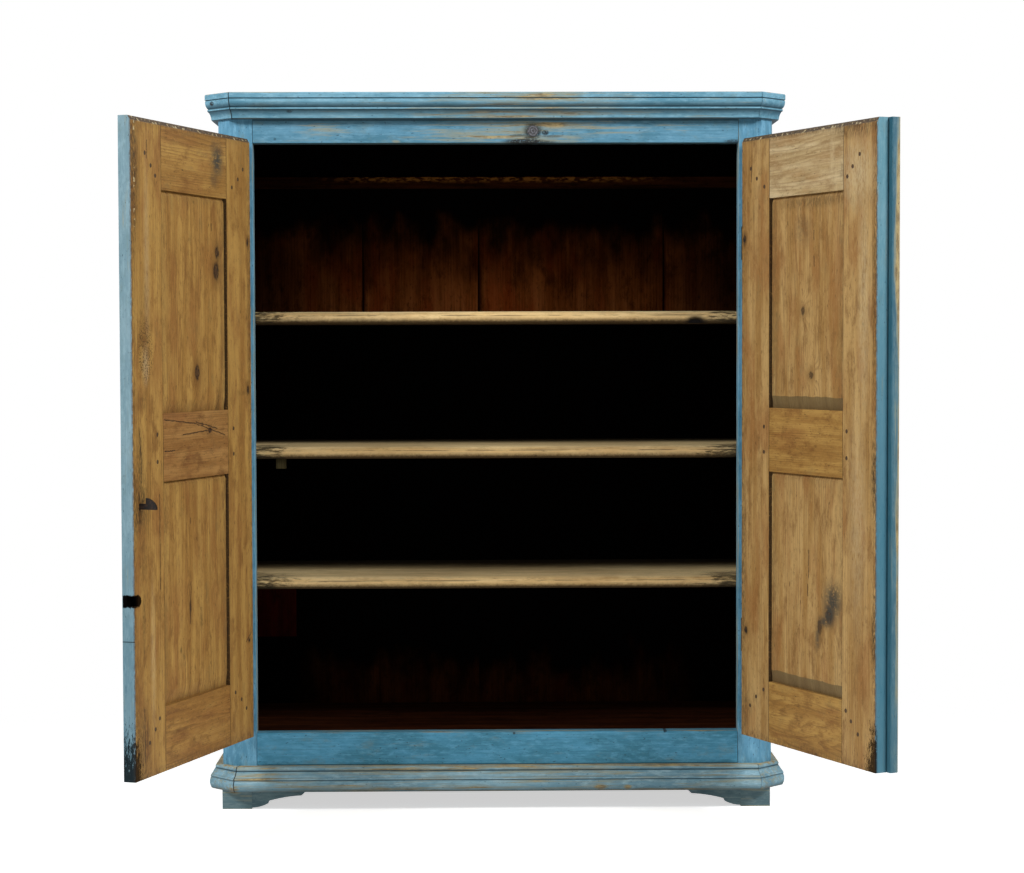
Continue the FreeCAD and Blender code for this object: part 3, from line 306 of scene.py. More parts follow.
def milk_paint(tree, grain, tones, wear, worn, seed=0.0):
    """Returns colour and height of worn paint; wear is how much is gone everywhere, worn is a mask."""
    patch = streaks(tree, grain, 60, 190, detail=4, roughness=0.6, offset=seed)
    cloud = streaks(tree, grain, 9, 30, detail=6, roughness=0.72, offset=seed + 5)
    brush = streaks(tree, grain, 2.4, 140, detail=4, roughness=0.68, offset=seed + 9)
    rub = streaks(tree, grain, 7, 130, detail=5, roughness=0.62, offset=seed + 13)
    dirt = streaks(tree, grain, 24, 60, detail=6, roughness=0.74, offset=seed + 21)
    speck = streaks(tree, grain, 2.8, 9.0, detail=2, offset=seed + 17)
    colour = layered(tree, linear(tones["deep"]),
                     (band(tree, patch, 0.36, 0.64), tones["middle"]),
                     (band(tree, cloud, 0.44, 0.7, 0.7), tones["light"]),
                     (band(tree, cloud, 0.46, 0.3, 0.55), tones["deep"]),
                     (band(tree, brush, 0.5, 0.66, 0.5), tones["deep"]),
                     (band(tree, brush, 0.46, 0.32, 0.4), tones["light"]),
                     (band(tree, dirt, 0.53, 0.7, 0.5), "#657f80"),
                     (band(tree, dirt, 0.4, 0.3, 0.35), "#2c5363"))
    gone = add(tree, "Math", brush, 0.3, add(tree, "Math", rub, wear, operation="ADD"),
               operation="MULTIPLY_ADD")
    if worn is not None:
        gone = add(tree, "Math", worn, 0.26, gone, operation="MULTIPLY_ADD")
    thin = band(tree, gone, 0.72, 0.92)
    bare = band(tree, gone, 0.9, 0.98)
    wood = layered(tree, linear("#75603c"), (band(tree, cloud, 0.4, 0.62), "#b09a68"))
    colour = layered(tree, colour,
                     (add(tree, "Math", thin, 0.8, operation="MULTIPLY"), "#8c8f7c"),
                     (add(tree, "Math", bare, 0.85, operation="MULTIPLY"), wood),
                     (band(tree, speck, 0.66, 0.73, 0.7), "#1c323c"))
    height = add(tree, "Math", bare, -0.3, add(tree, "Math", brush, 0.4, operation="MULTIPLY"),
                 operation="MULTIPLY_ADD")
    height = add(tree, "Math", cloud, 0.25, height, operation="MULTIPLY_ADD")
    height = add(tree, "Math", thin, -0.1, height, operation="MULTIPLY_ADD")
    return colour, height


print("milk paint in", ", ".join(BLUE))

# %% [markdown]
# ## Painting the carcass
# Each painted piece gets a material of its own, because the wear sits where that piece is handled or
# knocked. What lies on one spot of the front, such as a nail hole, a chip or the painted shadow under the
# proud knot, is written once with its distance from the middle and its height, and goes to whichever
# piece it lies on. Behind the front frame the wood was never painted, so past a given depth the same
# material turns into dark wood, near black as painted shade.

# %% Dressing a piece, and places on the front
def dress(node, material):
    slots = NODES[node].data.materials
    slots.clear()
    slots.append(material)


def box_mm(node):
    low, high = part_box(node)
    return low / MM, high / MM


def front_marks(node, spots, margin=0.0):
    """The spots that lie on a piece of the front, as marks."""
    low, high = box_mm(node)
    return [((MIDDLE + x, FRONT, z), (w, CHIP_DEPTH, h), strength) for x, z, w, h, strength in spots
            if low.x - margin < MIDDLE + x < high.x + margin and low.z - margin < z < high.z + margin]


rail_low, rail_high = box_mm("top_frame_rail")
sill_top = box_mm("bottom_frame_rail")[1].z
cornice_low, cornice_high = box_mm("cornice_front")
base_low, base_high = box_mm("base_front")
MIDDLE = (rail_low.x + rail_high.x) / 2
FRONT = rail_low.y
BACK_OF_FRAME = rail_high.y
TOP_KNOT = (MIDDLE + 85, FRONT, 1561)
MITRE = math.tan(math.radians(22.5))
# How deep behind the front a chip or hole reaches, and half the width of a line of painted shade.
CHIP_DEPTH, SHADE_LINE = 70, 2.2

# Nail holes and chips; the spots round and just under the proud knot in the head rail are a painted shadow.
# From the middle, height, half width, half height, strength.
HOLES_AND_SHADE = ((-650, 1625, 5, 5, 1.0), (38, 174, 3, 3, 0.8), (388, 177, 4, 3, 0.9), (-505, 1543, 3, 3, 0.5),
         (-470, 1604, 7, 3, 0.7), (88, 1536, 45, 4, 0.8), (80, 1545, 16, 7, 0.7), (546, 1537, 22, 4, 0.8),
         (66, 1537, 46, 6, 1.0), (85, 1561, 21, 17, 0.8), (113, 1557, 8, 6, 0.95), (60, 1551, 26, 3, 0.6),
         (128, 1549, 24, 3, 0.5))
WORN = ((85, 1561, 210, 34, 1.0), (150, 1561, 190, 26, 0.7), (-60, 1556, 170, 16, 0.8),
        (70, 1636, 240, 24, 1.0), (60, 1600, 230, 16, 0.9), (-228, 1536, 12, 5, 1.3),
        (-400, 1558, 60, 16, 0.7), (-607, 48, 12, 10, 1.4), (-560, 78, 60, 8, 0.8), (237, 52, 12, 7, 1.3),
        (299, 52, 8, 6, 1.2), (-380, 50, 190, 9, 0.75), (-40, 50, 120, 8, 0.65), (-30, 96, 260, 7, 0.6),
        (-320, 178, 220, 6, 0.6), (200, 178, 230, 5, 0.5))


# %% A painted piece
def painted(node, order, tones=BLUE, wear=0.0, worn_lines=(), shade_lines=(), reach=4, seed=0.0,
            inside=None, mitre=None, depth=0.8):
    """inside is (axis, from, to): dark wood past `to`; mitre is where the front's mitres start."""
    material, tree = new_material(f"milk_paint_{node}")
    place = carcass_place(tree)
    grain, parts = with_grain(tree, place, order)
    local = front_marks(node, WORN, 20)
    worn = marks(tree, place, local, 0.85) if local else None
    if worn_lines:
        lines = add(tree, "Math", near(tree, parts, worn_lines, reach), 0.8, operation="MULTIPLY")
        worn = lines if worn is None else add(tree, "Math", worn, lines, operation="MAXIMUM")
    colour, height = milk_paint(tree, grain, tones, wear, worn, seed)
    # Lines of painted shade darken the given planes: the quirks, and where one piece meets another that
    # stands over it.
    if shade_lines:
        lines = add(tree, "Math", near(tree, parts, shade_lines, SHADE_LINE), depth, operation="MULTIPLY")
        # Painted shade: faces that look down are darkened, the more the further they turn down.
        down = add(tree, "SeparateXYZ", add(tree, "TexCoord", out="Normal"), out=2)
        colour = layered(tree, colour, (lines, "#12313a"), (band(tree, down, 0.0, -0.7, 0.85), "#1d4150"))
    if mitre:
        outwards = distance(tree, parts[0], MIDDLE)
        slant = add(tree, "Math", parts[1], MITRE, outwards, operation="MULTIPLY_ADD")
        line = band(tree, distance(tree, slant, mitre), 2.0, 0.8)
        open_joint = band(tree, parts[0], MIDDLE + 200, MIDDLE - 200, 0.7)
        open_joint = add(tree, "Math", open_joint, 0.2, operation="ADD")
        joint = add(tree, "Math", line, open_joint, operation="MULTIPLY")
        colour = layered(tree, colour, (joint, "#101c20"))
    # Nail holes and chips go on dark, and so does the painted shadow under the head-rail knot.
    holes_and_shade = front_marks(node, HOLES_AND_SHADE)
    if holes_and_shade:
        ragged = streaks(tree, place, 4, 4, detail=4, roughness=0.7, offset=seed)
        hole_and_shade = add(tree, "Math", marks(tree, place, holes_and_shade, 0.4), band(tree, ragged, 0.3, 0.5),
                   operation="MULTIPLY")
        colour = layered(tree, colour, (hole_and_shade, "#0f1214"))
    # Past `to` the wood is unpainted and dark, near black as painted shade.
    if inside:
        axis, start, end = inside
        dark = band(tree, parts[axis], start, end)
        colour = layered(tree, colour, (dark, "#120a06"))
    surface(tree, colour, 0.62, height, specular=0.3)
    dress(node, material)


# %% Frame, sides and front feet
mitre_start = MIDDLE - cornice_low.x - MITRE * (FRONT - cornice_low.y) + MITRE * FRONT
BEHIND = (1, BACK_OF_FRAME - 2, BACK_OF_FRAME - 0.5)
# The head rail gets a painted shadow just under the cornice, and the sill a line of painted shade where it
# meets the base.
painted("top_frame_rail", ACROSS_Z, wear=-0.02, reach=2.5, seed=1.0, worn_lines=((2, rail_low.z),),
        shade_lines=((2, cornice_low.z - 1), (2, cornice_low.z - 3)), inside=BEHIND)
painted("bottom_frame_rail", ACROSS_Z, tones=SILL_BLUE, wear=-0.07, reach=3, seed=2.0,
        worn_lines=((2, sill_top),), shade_lines=((2, base_high.z + 1),), inside=BEHIND)
for number, word in enumerate(("left", "right")):
    post_low, post_high = box_mm(f"{word}_post")
    inner = post_high.x if word == "left" else post_low.x
    painted(f"{word}_post", ACROSS_X, tones=POST_BLUE, wear=-0.05, reach=2.5, seed=3.0 + number,
            worn_lines=((0, inner),), inside=BEHIND)
    side_low, side_high = box_mm(f"{word}_side_board")
    skin, into = (side_low.x + 2, 1) if word == "left" else (side_high.x - 2, -1)
    hidden = (0, skin, skin + into)
    painted(f"{word}_side_board", ACROSS_X, wear=-0.02, seed=5.0 + number, inside=hidden)
    painted(f"front_{word}_foot", ACROSS_Z, tones=FOOT_BLUE, wear=0.05, reach=4, seed=7.0 + number,
            worn_lines=((2, 0.0),))
    painted(f"{word}_bracket", ACROSS_Z, tones=FOOT_BLUE, wear=-0.06, seed=9.0 + number)

# %% Mouldings
# Painted shade darkens a moulding's quirks, the sharp hollows between its curves, at these heights over its
# foot.
cornice_shade_lines = [(2, cornice_low.z + level) for level in (20.5, 26.0, 45.3)]
base_shade_lines = [(2, base_low.z + level) for level in (25.6, 32.6, 45.3)]
for number, piece in enumerate(("front", "left_cant", "right_cant", "left_return", "right_return")):
    order = RETURN_GRAIN if "return" in piece else ACROSS_Z
    start = None if "return" in piece else mitre_start
    painted(f"cornice_{piece}", order, tones=CORNICE_BLUE, wear=0.0, reach=2.5, seed=11.0 + number,
            worn_lines=((2, cornice_high.z), (2, cornice_low.z)), shade_lines=cornice_shade_lines, mitre=start)
    painted(f"base_{piece}", order, tones=BASE_BLUE, wear=0.1, reach=7, seed=41.0 + number,
            worn_lines=((2, base_low.z), (2, base_high.z)), shade_lines=base_shade_lines, mitre=start, depth=0.25)
print("painted the frame and the mouldings")

# %% [markdown]
# ## The boards inside
# The shelves are pale from scrubbing and handling. A painted highlight lies on their noses and tops, and
# painted shade darkens the foot of each nose and the wood further in. Behind them the boards were never
# cleaned and are smoke-dark; painted shade takes them down to nearly black. Only over the top shelf does
# a painted pool of light show their brown, and a painted highlight runs along the batten's upper arris.

# %% Scrubbed shelves, with painted highlight and shade
def shelf_board(node, seed, knots=()):
    material, tree = new_material(f"scrubbed_pine_{node}")
    place = carcass_place(tree)
    grain, parts = with_grain(tree, place, LYING)
    low, high = box_mm(node)
    colour, height = bare_pine(tree, grain, SHELF_PINE, 10.0, 0.4, seed=seed)
    grey = streaks(tree, grain, 9, 110, detail=5, roughness=0.66, offset=seed + 31)
    colour = layered(tree, colour, (band(tree, grey, 0.5, 0.68, 0.6), SHELF_PINE["grey"]))
    blot = streaks(tree, place, 7, 7, detail=5, roughness=0.7, offset=seed + 33)
    blotch = streaks(tree, grain, 7, 34, detail=6, roughness=0.7, offset=seed + 35)
    ends = near(tree, parts, ((0, MIDDLE - OPENING), (0, MIDDLE + OPENING)), 150)
    ends = add(tree, "Math", ends, band(tree, parts[1], low.y + 190, low.y + 40), operation="MULTIPLY")
    ends = band(tree, add(tree, "Math", ends, 0.26, blotch, operation="MULTIPLY_ADD"), 0.62, 0.8, 0.9)
    # A painted highlight makes the nose and the upper face paler.
    facing = add(tree, "SeparateXYZ", add(tree, "TexCoord", out="Normal"), out=2)
    colour = layered(tree, colour,
                     (band(tree, facing, 0.98, 0.2, 0.42), "#e8c88e"),
                     (band(tree, facing, 0.6, 1.0, 0.4), "#ead6a4"))
    # Painted shade darkens the lower part of the nose.
    under = add(tree, "Math", blot, 9.0, parts[2], operation="MULTIPLY_ADD")
    colour = layered(tree, colour, (band(tree, under, low.z + 20, low.z + 7, 0.95), "#2a1a08"))
    drawn = add(tree, "Math", near(tree, parts, ((2, high.z - 9),), 1.6), band(tree, grey, 0.46, 0.56),
                operation="MULTIPLY")
    colour = layered(tree, colour, (add(tree, "Math", drawn, 0.8, operation="MULTIPLY"), "#2a1c0c"))
    # Painted shade darkens the shelf from the front towards the back, and its ends near the sides are
    # darker.
    depth = add(tree, "Math", blotch, 160, parts[1], operation="MULTIPLY_ADD")
    colour = layered(tree, colour,
                     (band(tree, depth, low.y + 220, low.y + 440, 0.94), "#1d130a"),
                     (ends, "#241d0f"))
    # A knot hole in the nose is painted black, as the shade inside it.
    if knots:
        colour = layered(tree, colour, (marks(tree, place, knots, 0.5), "#080403"))
    surface(tree, colour, 0.7, height, specular=0.15)
    dress(node, material)


OPENING = MIDDLE - box_mm("left_post")[1].x

# %% Smoked boards, with painted shade
SMOKED_AND_SHADED = palette("#3a1c0a", "#1c0a02", "#0a0301", "#050201", "#240b04", "#0b0401")
BROWN = palette("#8a4f26", "#66330f", "#371804", "#1d0b02", "#742d0c", "#4c3010")
RED = palette("#3d0d06", "#2c0904", "#1a0502", "#140402", "#380a05", "#220703")
DRAB = palette("#433c27", "#2d2818", "#1a160d", "#120f09", "#2c2214", "#222016")


def dark_board(node, order, tones, seed, lit_from=None, arris=None):
    """Smoke-dark pine, near black as painted shade; over the level `lit_from` a painted pool of light keeps
    it browner for a hand's breadth or two. The painted shade lies on the inside only."""
    material, tree = new_material(f"smoked_and_shaded_pine_{node}")
    place = carcass_place(tree)
    grain, parts = with_grain(tree, place, order)
    colour, height = bare_pine(tree, grain, tones, 8.0, 0.1, seed=seed)
    if lit_from is not None:
        # A painted pool of light keeps the back boards brown just over the top shelf and near the floor in
        # the middle. Painted shade darkens them higher up and towards the sides, and their joints are dark.
        cloud = streaks(tree, place, 70, 120, detail=4, offset=seed + 2)
        level = add(tree, "Math", cloud, 260, parts[2], operation="MULTIPLY_ADD")
        blackening = add(tree, "Math", band(tree, level, lit_from + 160, lit_from + 375),
                   band(tree, parts[2], lit_from, lit_from - 10), operation="MAXIMUM")
        low, high = box_mm(node)
        blackening = add(tree, "Math", blackening, near(tree, parts, ((0, low.x), (0, high.x)), 14),
                   operation="MAXIMUM")
        outwards = distance(tree, parts[0], MIDDLE)
        blackening = add(tree, "Math", blackening, band(tree, outwards, 330, 600, 0.8), operation="MAXIMUM")
        foot = add(tree, "Math", band(tree, level, 430, 300, 0.35), band(tree, outwards, 520, 380),
                   operation="MULTIPLY")
        blackening = add(tree, "Math", blackening, foot, operation="SUBTRACT")
        blackening = add(tree, "Math", blackening, band(tree, parts[1], high.y - 3, high.y - 6), operation="MULTIPLY")
        colour = layered(tree, colour, (blackening, "#010000"))
    if arris is not None:
        # A painted highlight lies along the batten's upper arris, broken up and only in the middle.
        lightened = add(tree, "Math", near(tree, parts, ((2, arris - 5),), 12),
                     band(tree, streaks(tree, grain, 6, 16, detail=5, offset=seed), 0.42, 0.62),
                     operation="MULTIPLY")
        middle = band(tree, distance(tree, parts[0], MIDDLE), 460, 250)
        colour = layered(tree, colour, (add(tree, "Math", lightened, middle, operation="MULTIPLY"), "#845726"))
    surface(tree, colour, 0.85, height, specular=0.02)
    dress(node, material)


# %% Every board inside, and the rear feet
high_shelf_top = box_mm("high_shelf")[1].z
for number, node in enumerate(("low_shelf", "middle_shelf", "high_shelf")):
    low, high = box_mm(node)
    hollow = []  # where a knot has fallen out of the nose
    if node == "high_shelf":
        hollow = [((MIDDLE + 462, low.y + 4, low.z + 2), (23, 30, 15), 1.0)]
    shelf_board(node, 50.0 + number, hollow)
for number in range(1, 5):
    dark_board(f"back_board_{number}", ACROSS_X, BROWN, 60.0 + number, lit_from=high_shelf_top)
LYING_BOARDS = ("front_floor_board", "rear_floor_board", "front_top_board", "rear_top_board")
for number, node in enumerate(LYING_BOARDS):
    dark_board(node, LYING, SMOKED_AND_SHADED, 70.0 + number)
dark_board("back_batten", ACROSS_Z, SMOKED_AND_SHADED, 75.0, arris=box_mm("back_batten")[1].z)
dark_board("back_patch_board", ACROSS_X, RED, 76.0)
for number, node in enumerate(("shelf_block", "rear_left_foot", "rear_right_foot")):
    dark_board(node, ACROSS_X, DRAB, 80.0 + number)
print("scrubbed the shelves and smoked the boards behind them")

# %% [markdown]
# ## The door leaves
# Inside, a leaf is bare pine; outside and round its edges it is painted. One material can hold both:
# the graph works out pine and paint for every point and picks one by where the point is in the leaf,
# with a ragged line between them, as a brush and wear leave it. Knots, cracks and stains are written
# once in the leaf's own millimetres, along from the hinge axis and up from the floor, and go to the
# piece they lie on.

# %% Places on the leaves
# The two faces, through the leaf, and its hinge edge, all from the hinge axis.
INNER, OUTER, LEAF_START = 12.5, -15.5, 8.5
# Heights of the bolt hole and of the split in the left meeting edge.
BOLT_HOLE, EDGE_SPLIT = 547, 464
PANEL_BEVEL, HEAD_BEVEL = 38, 6
# A mark is centred this far behind the inner face and reaches this far through the leaf.
MARK_DEPTH, MARK_REACH = 3, 30


def leaf_span(node):
    """Where a piece lies on its leaf: least and greatest distance from the axis, and height."""
    word = node.split("_")[0]
    joint = JOINTS[f"{word}_door"]
    side = -1 if joint["axis"][2] > 0 else 1
    back = Matrix.Rotation(-side * math.radians(joint["range_deg"][0]), 4, "Z")
    hinge = Vector((joint["pos_m"][0], joint["pos_m"][1], 0))
    points = [back @ (vertex.co - hinge) / MM for vertex in NODES[node].data.vertices]
    along = [side * point.x for point in points]
    levels = [point.z for point in points]
    return min(along), max(along), min(levels), max(levels)


SPANS = {node: leaf_span(node) for node in NODES if node.startswith(("left_door", "right_door"))}
WIDTHS = {word: SPANS[f"{word}_door_meeting_stile"][1] for word in ("left", "right")}
DOOR_LOW, DOOR_HIGH = SPANS["left_door_hinge_stile"][2:]
print("leaves end", {word: round(width, 1) for word, width in WIDTHS.items()}, "mm from their hinge axes")

# %% Knots, cracks, stains and rubbed places
# Along, height, half width, half height, strength; a crack is its two ends, each along and height.
KNOTS = {"left": ((172, 1278, 10, 13, 0.95), (178, 1236, 14, 19, 0.95), (276, 1014, 11, 16, 1.0),
                  (227, 886, 8, 6, 1.0), (318, 505, 4, 17, 0.8), (265, 900, 4, 4, 0.6),
                  (25, 1307, 5, 9, 1.0), (28, 972, 5, 9, 1.0)),
         "right": ((257, 1144, 7, 9, 0.75), (290, 1004, 8, 8, 0.75), (363, 484, 13, 16, 0.95),
                   (327, 458, 9, 17, 0.8), (22, 1312, 5, 9, 1.0), (29, 418, 6, 8, 1.0))}
CRACKS = {"left": (((446, 916), (295, 903)), ((295, 903), (151, 873)), ((296, 907), (191, 889)),
                   ((359, 881), (238, 886)), ((444, 849), (397, 849)), ((560, 903), (552, 846)),
                   ((552, 846), (549, 790)), ((515, 1496), (516, 1459)), ((314, 700), (314, 688)),
                   ((200, 1340), (200, 1325)), ((20, 416), (46, 398)), ((546, 320), (543, 184)),
                   ((314, 560), (318, 470)), ((470, 760), (470, 560))),
          "right": (((300, 1318), (300, 1298)), ((300, 1262), (301, 1240)), ((52, 1475), (50, 1440)),
                    ((283, 620), (282, 560)), ((278, 545), (280, 520)))}
STAINS = {"left": ((556, 745, 30, 60, 0.9), (556, 830, 12, 60, 0.8), (548, 640, 14, 60, 0.45),
                   (26, 1303, 7, 7, 0.9), (28, 967, 6, 8, 0.9), (31, 399, 6, 6, 0.9),
                   (572, 1430, 15, 130, 0.85), (20, 1140, 12, 240, 0.3), (60, 966, 34, 6, 0.35),
                   (170, 1256, 10, 40, 0.5), (535, 1110, 25, 90, 0.35), (545, 500, 5, 70, 0.6),
                   (540, 960, 20, 20, 0.4), (170, 940, 8, 40, 0.7), (265, 477, 6, 22, 0.6),
                   (364, 419, 5, 6, 0.7), (350, 403, 5, 6, 0.6), (548, 250, 22, 80, 0.6)),
          "right": ((540, 790, 9, 60, 0.9), (541, 454, 8, 60, 0.85), (22, 1308, 7, 9, 0.9),
                    (29, 414, 8, 7, 0.9), (20, 560, 8, 180, 0.5), (540, 1190, 8, 160, 0.4),
                    (470, 1525, 70, 16, 0.7), (420, 1440, 10, 20, 0.4), (300, 1380, 110, 12, 0.5),
                    (30, 240, 14, 40, 0.5), (200, 1535, 190, 8, 0.4))}
SMUDGES = {"left": ((181, 1478, 24, 30, 1.0), (197, 1440, 16, 18, 0.5), (190, 1500, 20, 20, 0.5)),
           "right": ((378, 518, 30, 34, 1.0), (366, 492, 20, 26, 1.0), (345, 470, 20, 10, 0.9),
                     (318, 430, 7, 26, 0.7), (255, 1320, 30, 26, 0.3))}
RUBBED = {"left": ((528, 1032, 12, 32, 0.6), (520, 1260, 10, 150, 0.35), (505, 420, 9, 120, 0.35)),
          "right": ((380, 1470, 8, 38, 0.7), (394, 1420, 5, 30, 0.7), (478, 1430, 50, 60, 0.8),
                    (500, 1180, 18, 210, 0.55), (478, 700, 26, 200, 0.45))}


# %% Cracks, and what lies on which piece
def cracks(tree, place, lines, width):
    """Dark splits along straight lines, shaken a little by noise."""
    flat = add(tree, "VectorMath", place, (1, 0, 1), operation="MULTIPLY")
    shake = add(tree, "TexNoise", {"Vector": flat, "Scale": 0.06, "Detail": 3.0}, out="Color")
    flat = add(tree, "VectorMath", shake, (6, 0, 6), flat, operation="MULTIPLY_ADD")
    total = None
    for start, end in lines:
        run = Vector((end[0] - start[0], 0, end[1] - start[1]))
        origin = (start[0] + 3, 0, start[1] + 3)
        from_start = add(tree, "VectorMath", flat, origin, operation="SUBTRACT")
        share = add(tree, "VectorMath", from_start, run / run.length_squared, out="Value",
                    operation="DOT_PRODUCT")
        share = add(tree, "Math", share, 1.0, operation="MULTIPLY", use_clamp=True)
        nearest = add(tree, "VectorMath", {0: run, 3: share}, operation="SCALE")
        away = add(tree, "VectorMath", from_start, nearest, out="Value", operation="DISTANCE")
        line = band(tree, away, width, width * 0.3)
        total = line if total is None else add(tree, "Math", total, line, operation="MAXIMUM")
    return total


def on_leaf(node, spots):
    """The spots that lie on a piece of a leaf."""
    near_edge, far_edge, foot, head = SPANS[node]
    return [spot for spot in spots if near_edge < spot[0] < far_edge and foot < spot[1] < head]


def leaf_marks(node, table):
    """The table's spots on a piece, as marks on the leaf's inner face."""
    return [((x, INNER - MARK_DEPTH, z), (w, MARK_REACH, h), strength)
            for x, z, w, h, strength in on_leaf(node, table[node.split("_")[0]])]


# %% [markdown]
# ### The worn inner face
# Hands and linen rubbed some places of the inner face pale. Others are grimy: the arrises and the
# joints; and each panel is darkened in the corners round it. Every mark is broken up by a fine noise,
# so that none has a drawn outline, and stains go on last, over seams and cracks, as they did on the real
# leaf.

# %% Worn pine
# How far grime reaches from an arris, how far a panel is darkened from its frame, and half the width of a
# seam and of a crack.
GRIME, FRAME_DARKENING, SEAM, CRACK = 24, 42, 1.6, 1.9


def worn_pine(tree, node, place, parts, pine, height, ragged, grime, seed):
    """Returns colour and height of the inner face with its marks, seams, cracks and stains."""
    word, level = node.split("_")[0], parts[2]
    edges = near(tree, parts, ((2, DOOR_HIGH), (2, DOOR_LOW), (0, WIDTHS[word]), (0, LEAF_START)), GRIME)
    edges = add(tree, "Math", edges, band(tree, grime, 0.42, 0.62, 0.75), operation="MULTIPLY")
    pine = layered(tree, pine, (edges, "#44311a"))
    spots = leaf_marks(node, RUBBED)
    if spots:
        lightened = add(tree, "Math", marks(tree, place, spots, 0.9), band(tree, grime, 0.7, 0.4),
                     operation="MULTIPLY")
        pine = layered(tree, pine, (lightened, "#cbb68c"))
    spots = leaf_marks(node, SMUDGES)
    if spots:
        fingers = streaks(tree, place, 14, 8, detail=5, roughness=0.7, offset=seed + 61)
        smudge = add(tree, "Math", marks(tree, place, spots, 0.9), band(tree, fingers, 0.3, 0.52),
                     operation="MULTIPLY")
        pine = layered(tree, pine, (smudge, "#3f3d35"))
    joints = [(0, SPANS[f"{word}_door_hinge_stile"][1]), (0, SPANS[f"{word}_door_meeting_stile"][0])]
    if "panel" not in node:
        seams = add(tree, "Math", near(tree, parts, joints, SEAM), band(tree, ragged, 0.2, 0.5),
                    operation="MULTIPLY")
        pine = layered(tree, pine, (add(tree, "Math", seams, 0.85, operation="MULTIPLY"), "#1c120a"))
    splits = [line for line in CRACKS[word] if on_leaf(node, line)]
    if splits:
        split = add(tree, "Math", cracks(tree, place, splits, CRACK), band(tree, ragged, 0.3, 0.5),
                    operation="MULTIPLY")
        pine = layered(tree, pine, (add(tree, "Math", split, 0.85, operation="MULTIPLY"), "#28170b"))
        height = add(tree, "Math", split, -0.8, height, operation="MULTIPLY_ADD")
    spots = leaf_marks(node, STAINS)
    if spots:
        stain = add(tree, "Math", marks(tree, place, spots, 0.85), band(tree, grime, 0.36, 0.6),
                    operation="MULTIPLY")
        pine = layered(tree, pine, (stain, "#1d140c"))
    if "panel" in node:
        foot = max(SPANS[node][2], DOOR_LOW) + PANEL_BEVEL
        wavy = add(tree, "Math", streaks(tree, place, 40, 40, offset=seed), 10.0, level,
                   operation="MULTIPLY_ADD")
        strength = 0.75 if word == "right" else 0.0
        # Each panel is darkened near its frame.
        frame_edges = joints + [(2, SPANS[node][2]), (2, SPANS[node][3])]
        corner = add(tree, "Math", near(tree, parts, frame_edges, FRAME_DARKENING),
                     band(tree, grime, 0.36, 0.62, 0.5), operation="MULTIPLY")
        pine = layered(tree, pine, (band(tree, wavy, foot + 5, foot + 3, strength), "#5f5237"),
                       (corner, "#5b4a2e"))
    return pine, height


# %% [markdown]
# ### The rough head
# The inner head arris of each leaf is bevelled and was left rough; woodworm has opened it, so pale dots
# of fresh wood stand in the dark. The left leaf has a second row of them down its meeting arris.

# %% Bevel and worm holes
# How far the second row of holes lies from the meeting edge, and half the width of a row.
SECOND_ROW, WORM_ROW = 17, 5


def rough_head(tree, word, place, parts, pine, ragged):
    level = parts[2]
    uneven = add(tree, "Math", ragged, 5.0, level, operation="MULTIPLY_ADD")
    bevel = band(tree, uneven, DOOR_HIGH - HEAD_BEVEL - 1.5, DOOR_HIGH - HEAD_BEVEL + 0.5)
    rough = layered(tree, linear("#241a12"), (band(tree, ragged, 0.4, 0.62), "#5d4932"))
    dot = add(tree, "TexNoise", {"Vector": place, "Scale": 0.11, "Detail": 1.0})
    rows = [(2, DOOR_HIGH - HEAD_BEVEL)]
    if word == "left":
        rows.append((0, WIDTHS[word] - SECOND_ROW))
    worm = add(tree, "Math", near(tree, parts, rows, WORM_ROW), band(tree, dot, 0.56, 0.62, 0.95),
               operation="MULTIPLY")
    worm = add(tree, "Math", worm, band(tree, level, 1290, 1330), operation="MULTIPLY")
    return layered(tree, pine, (add(tree, "Math", bevel, 0.9, operation="MULTIPLY"), rough),
                   (worm, "#cab98f"))


# %% [markdown]
# ### Fire and iron at the meeting edge
# At the foot of the meeting edge both leaves are scorched, the right one on its inner side only. Char
# is matt as well as black, so the mask that blackens the wood takes its shine away too. The left edge
# also has a bolt hole, black with use and with the shade inside it painted in, a split below it, and a
# patch where the arris has been eaten.

# %% Scorched corners and the bolt hole
SCORCH_HEIGHT, SCORCH_WIDTH = 180, 60
# The eaten arris, written as a mark.
EATEN = ((530, INNER, 1060), (34, 9, 62), 0.8)


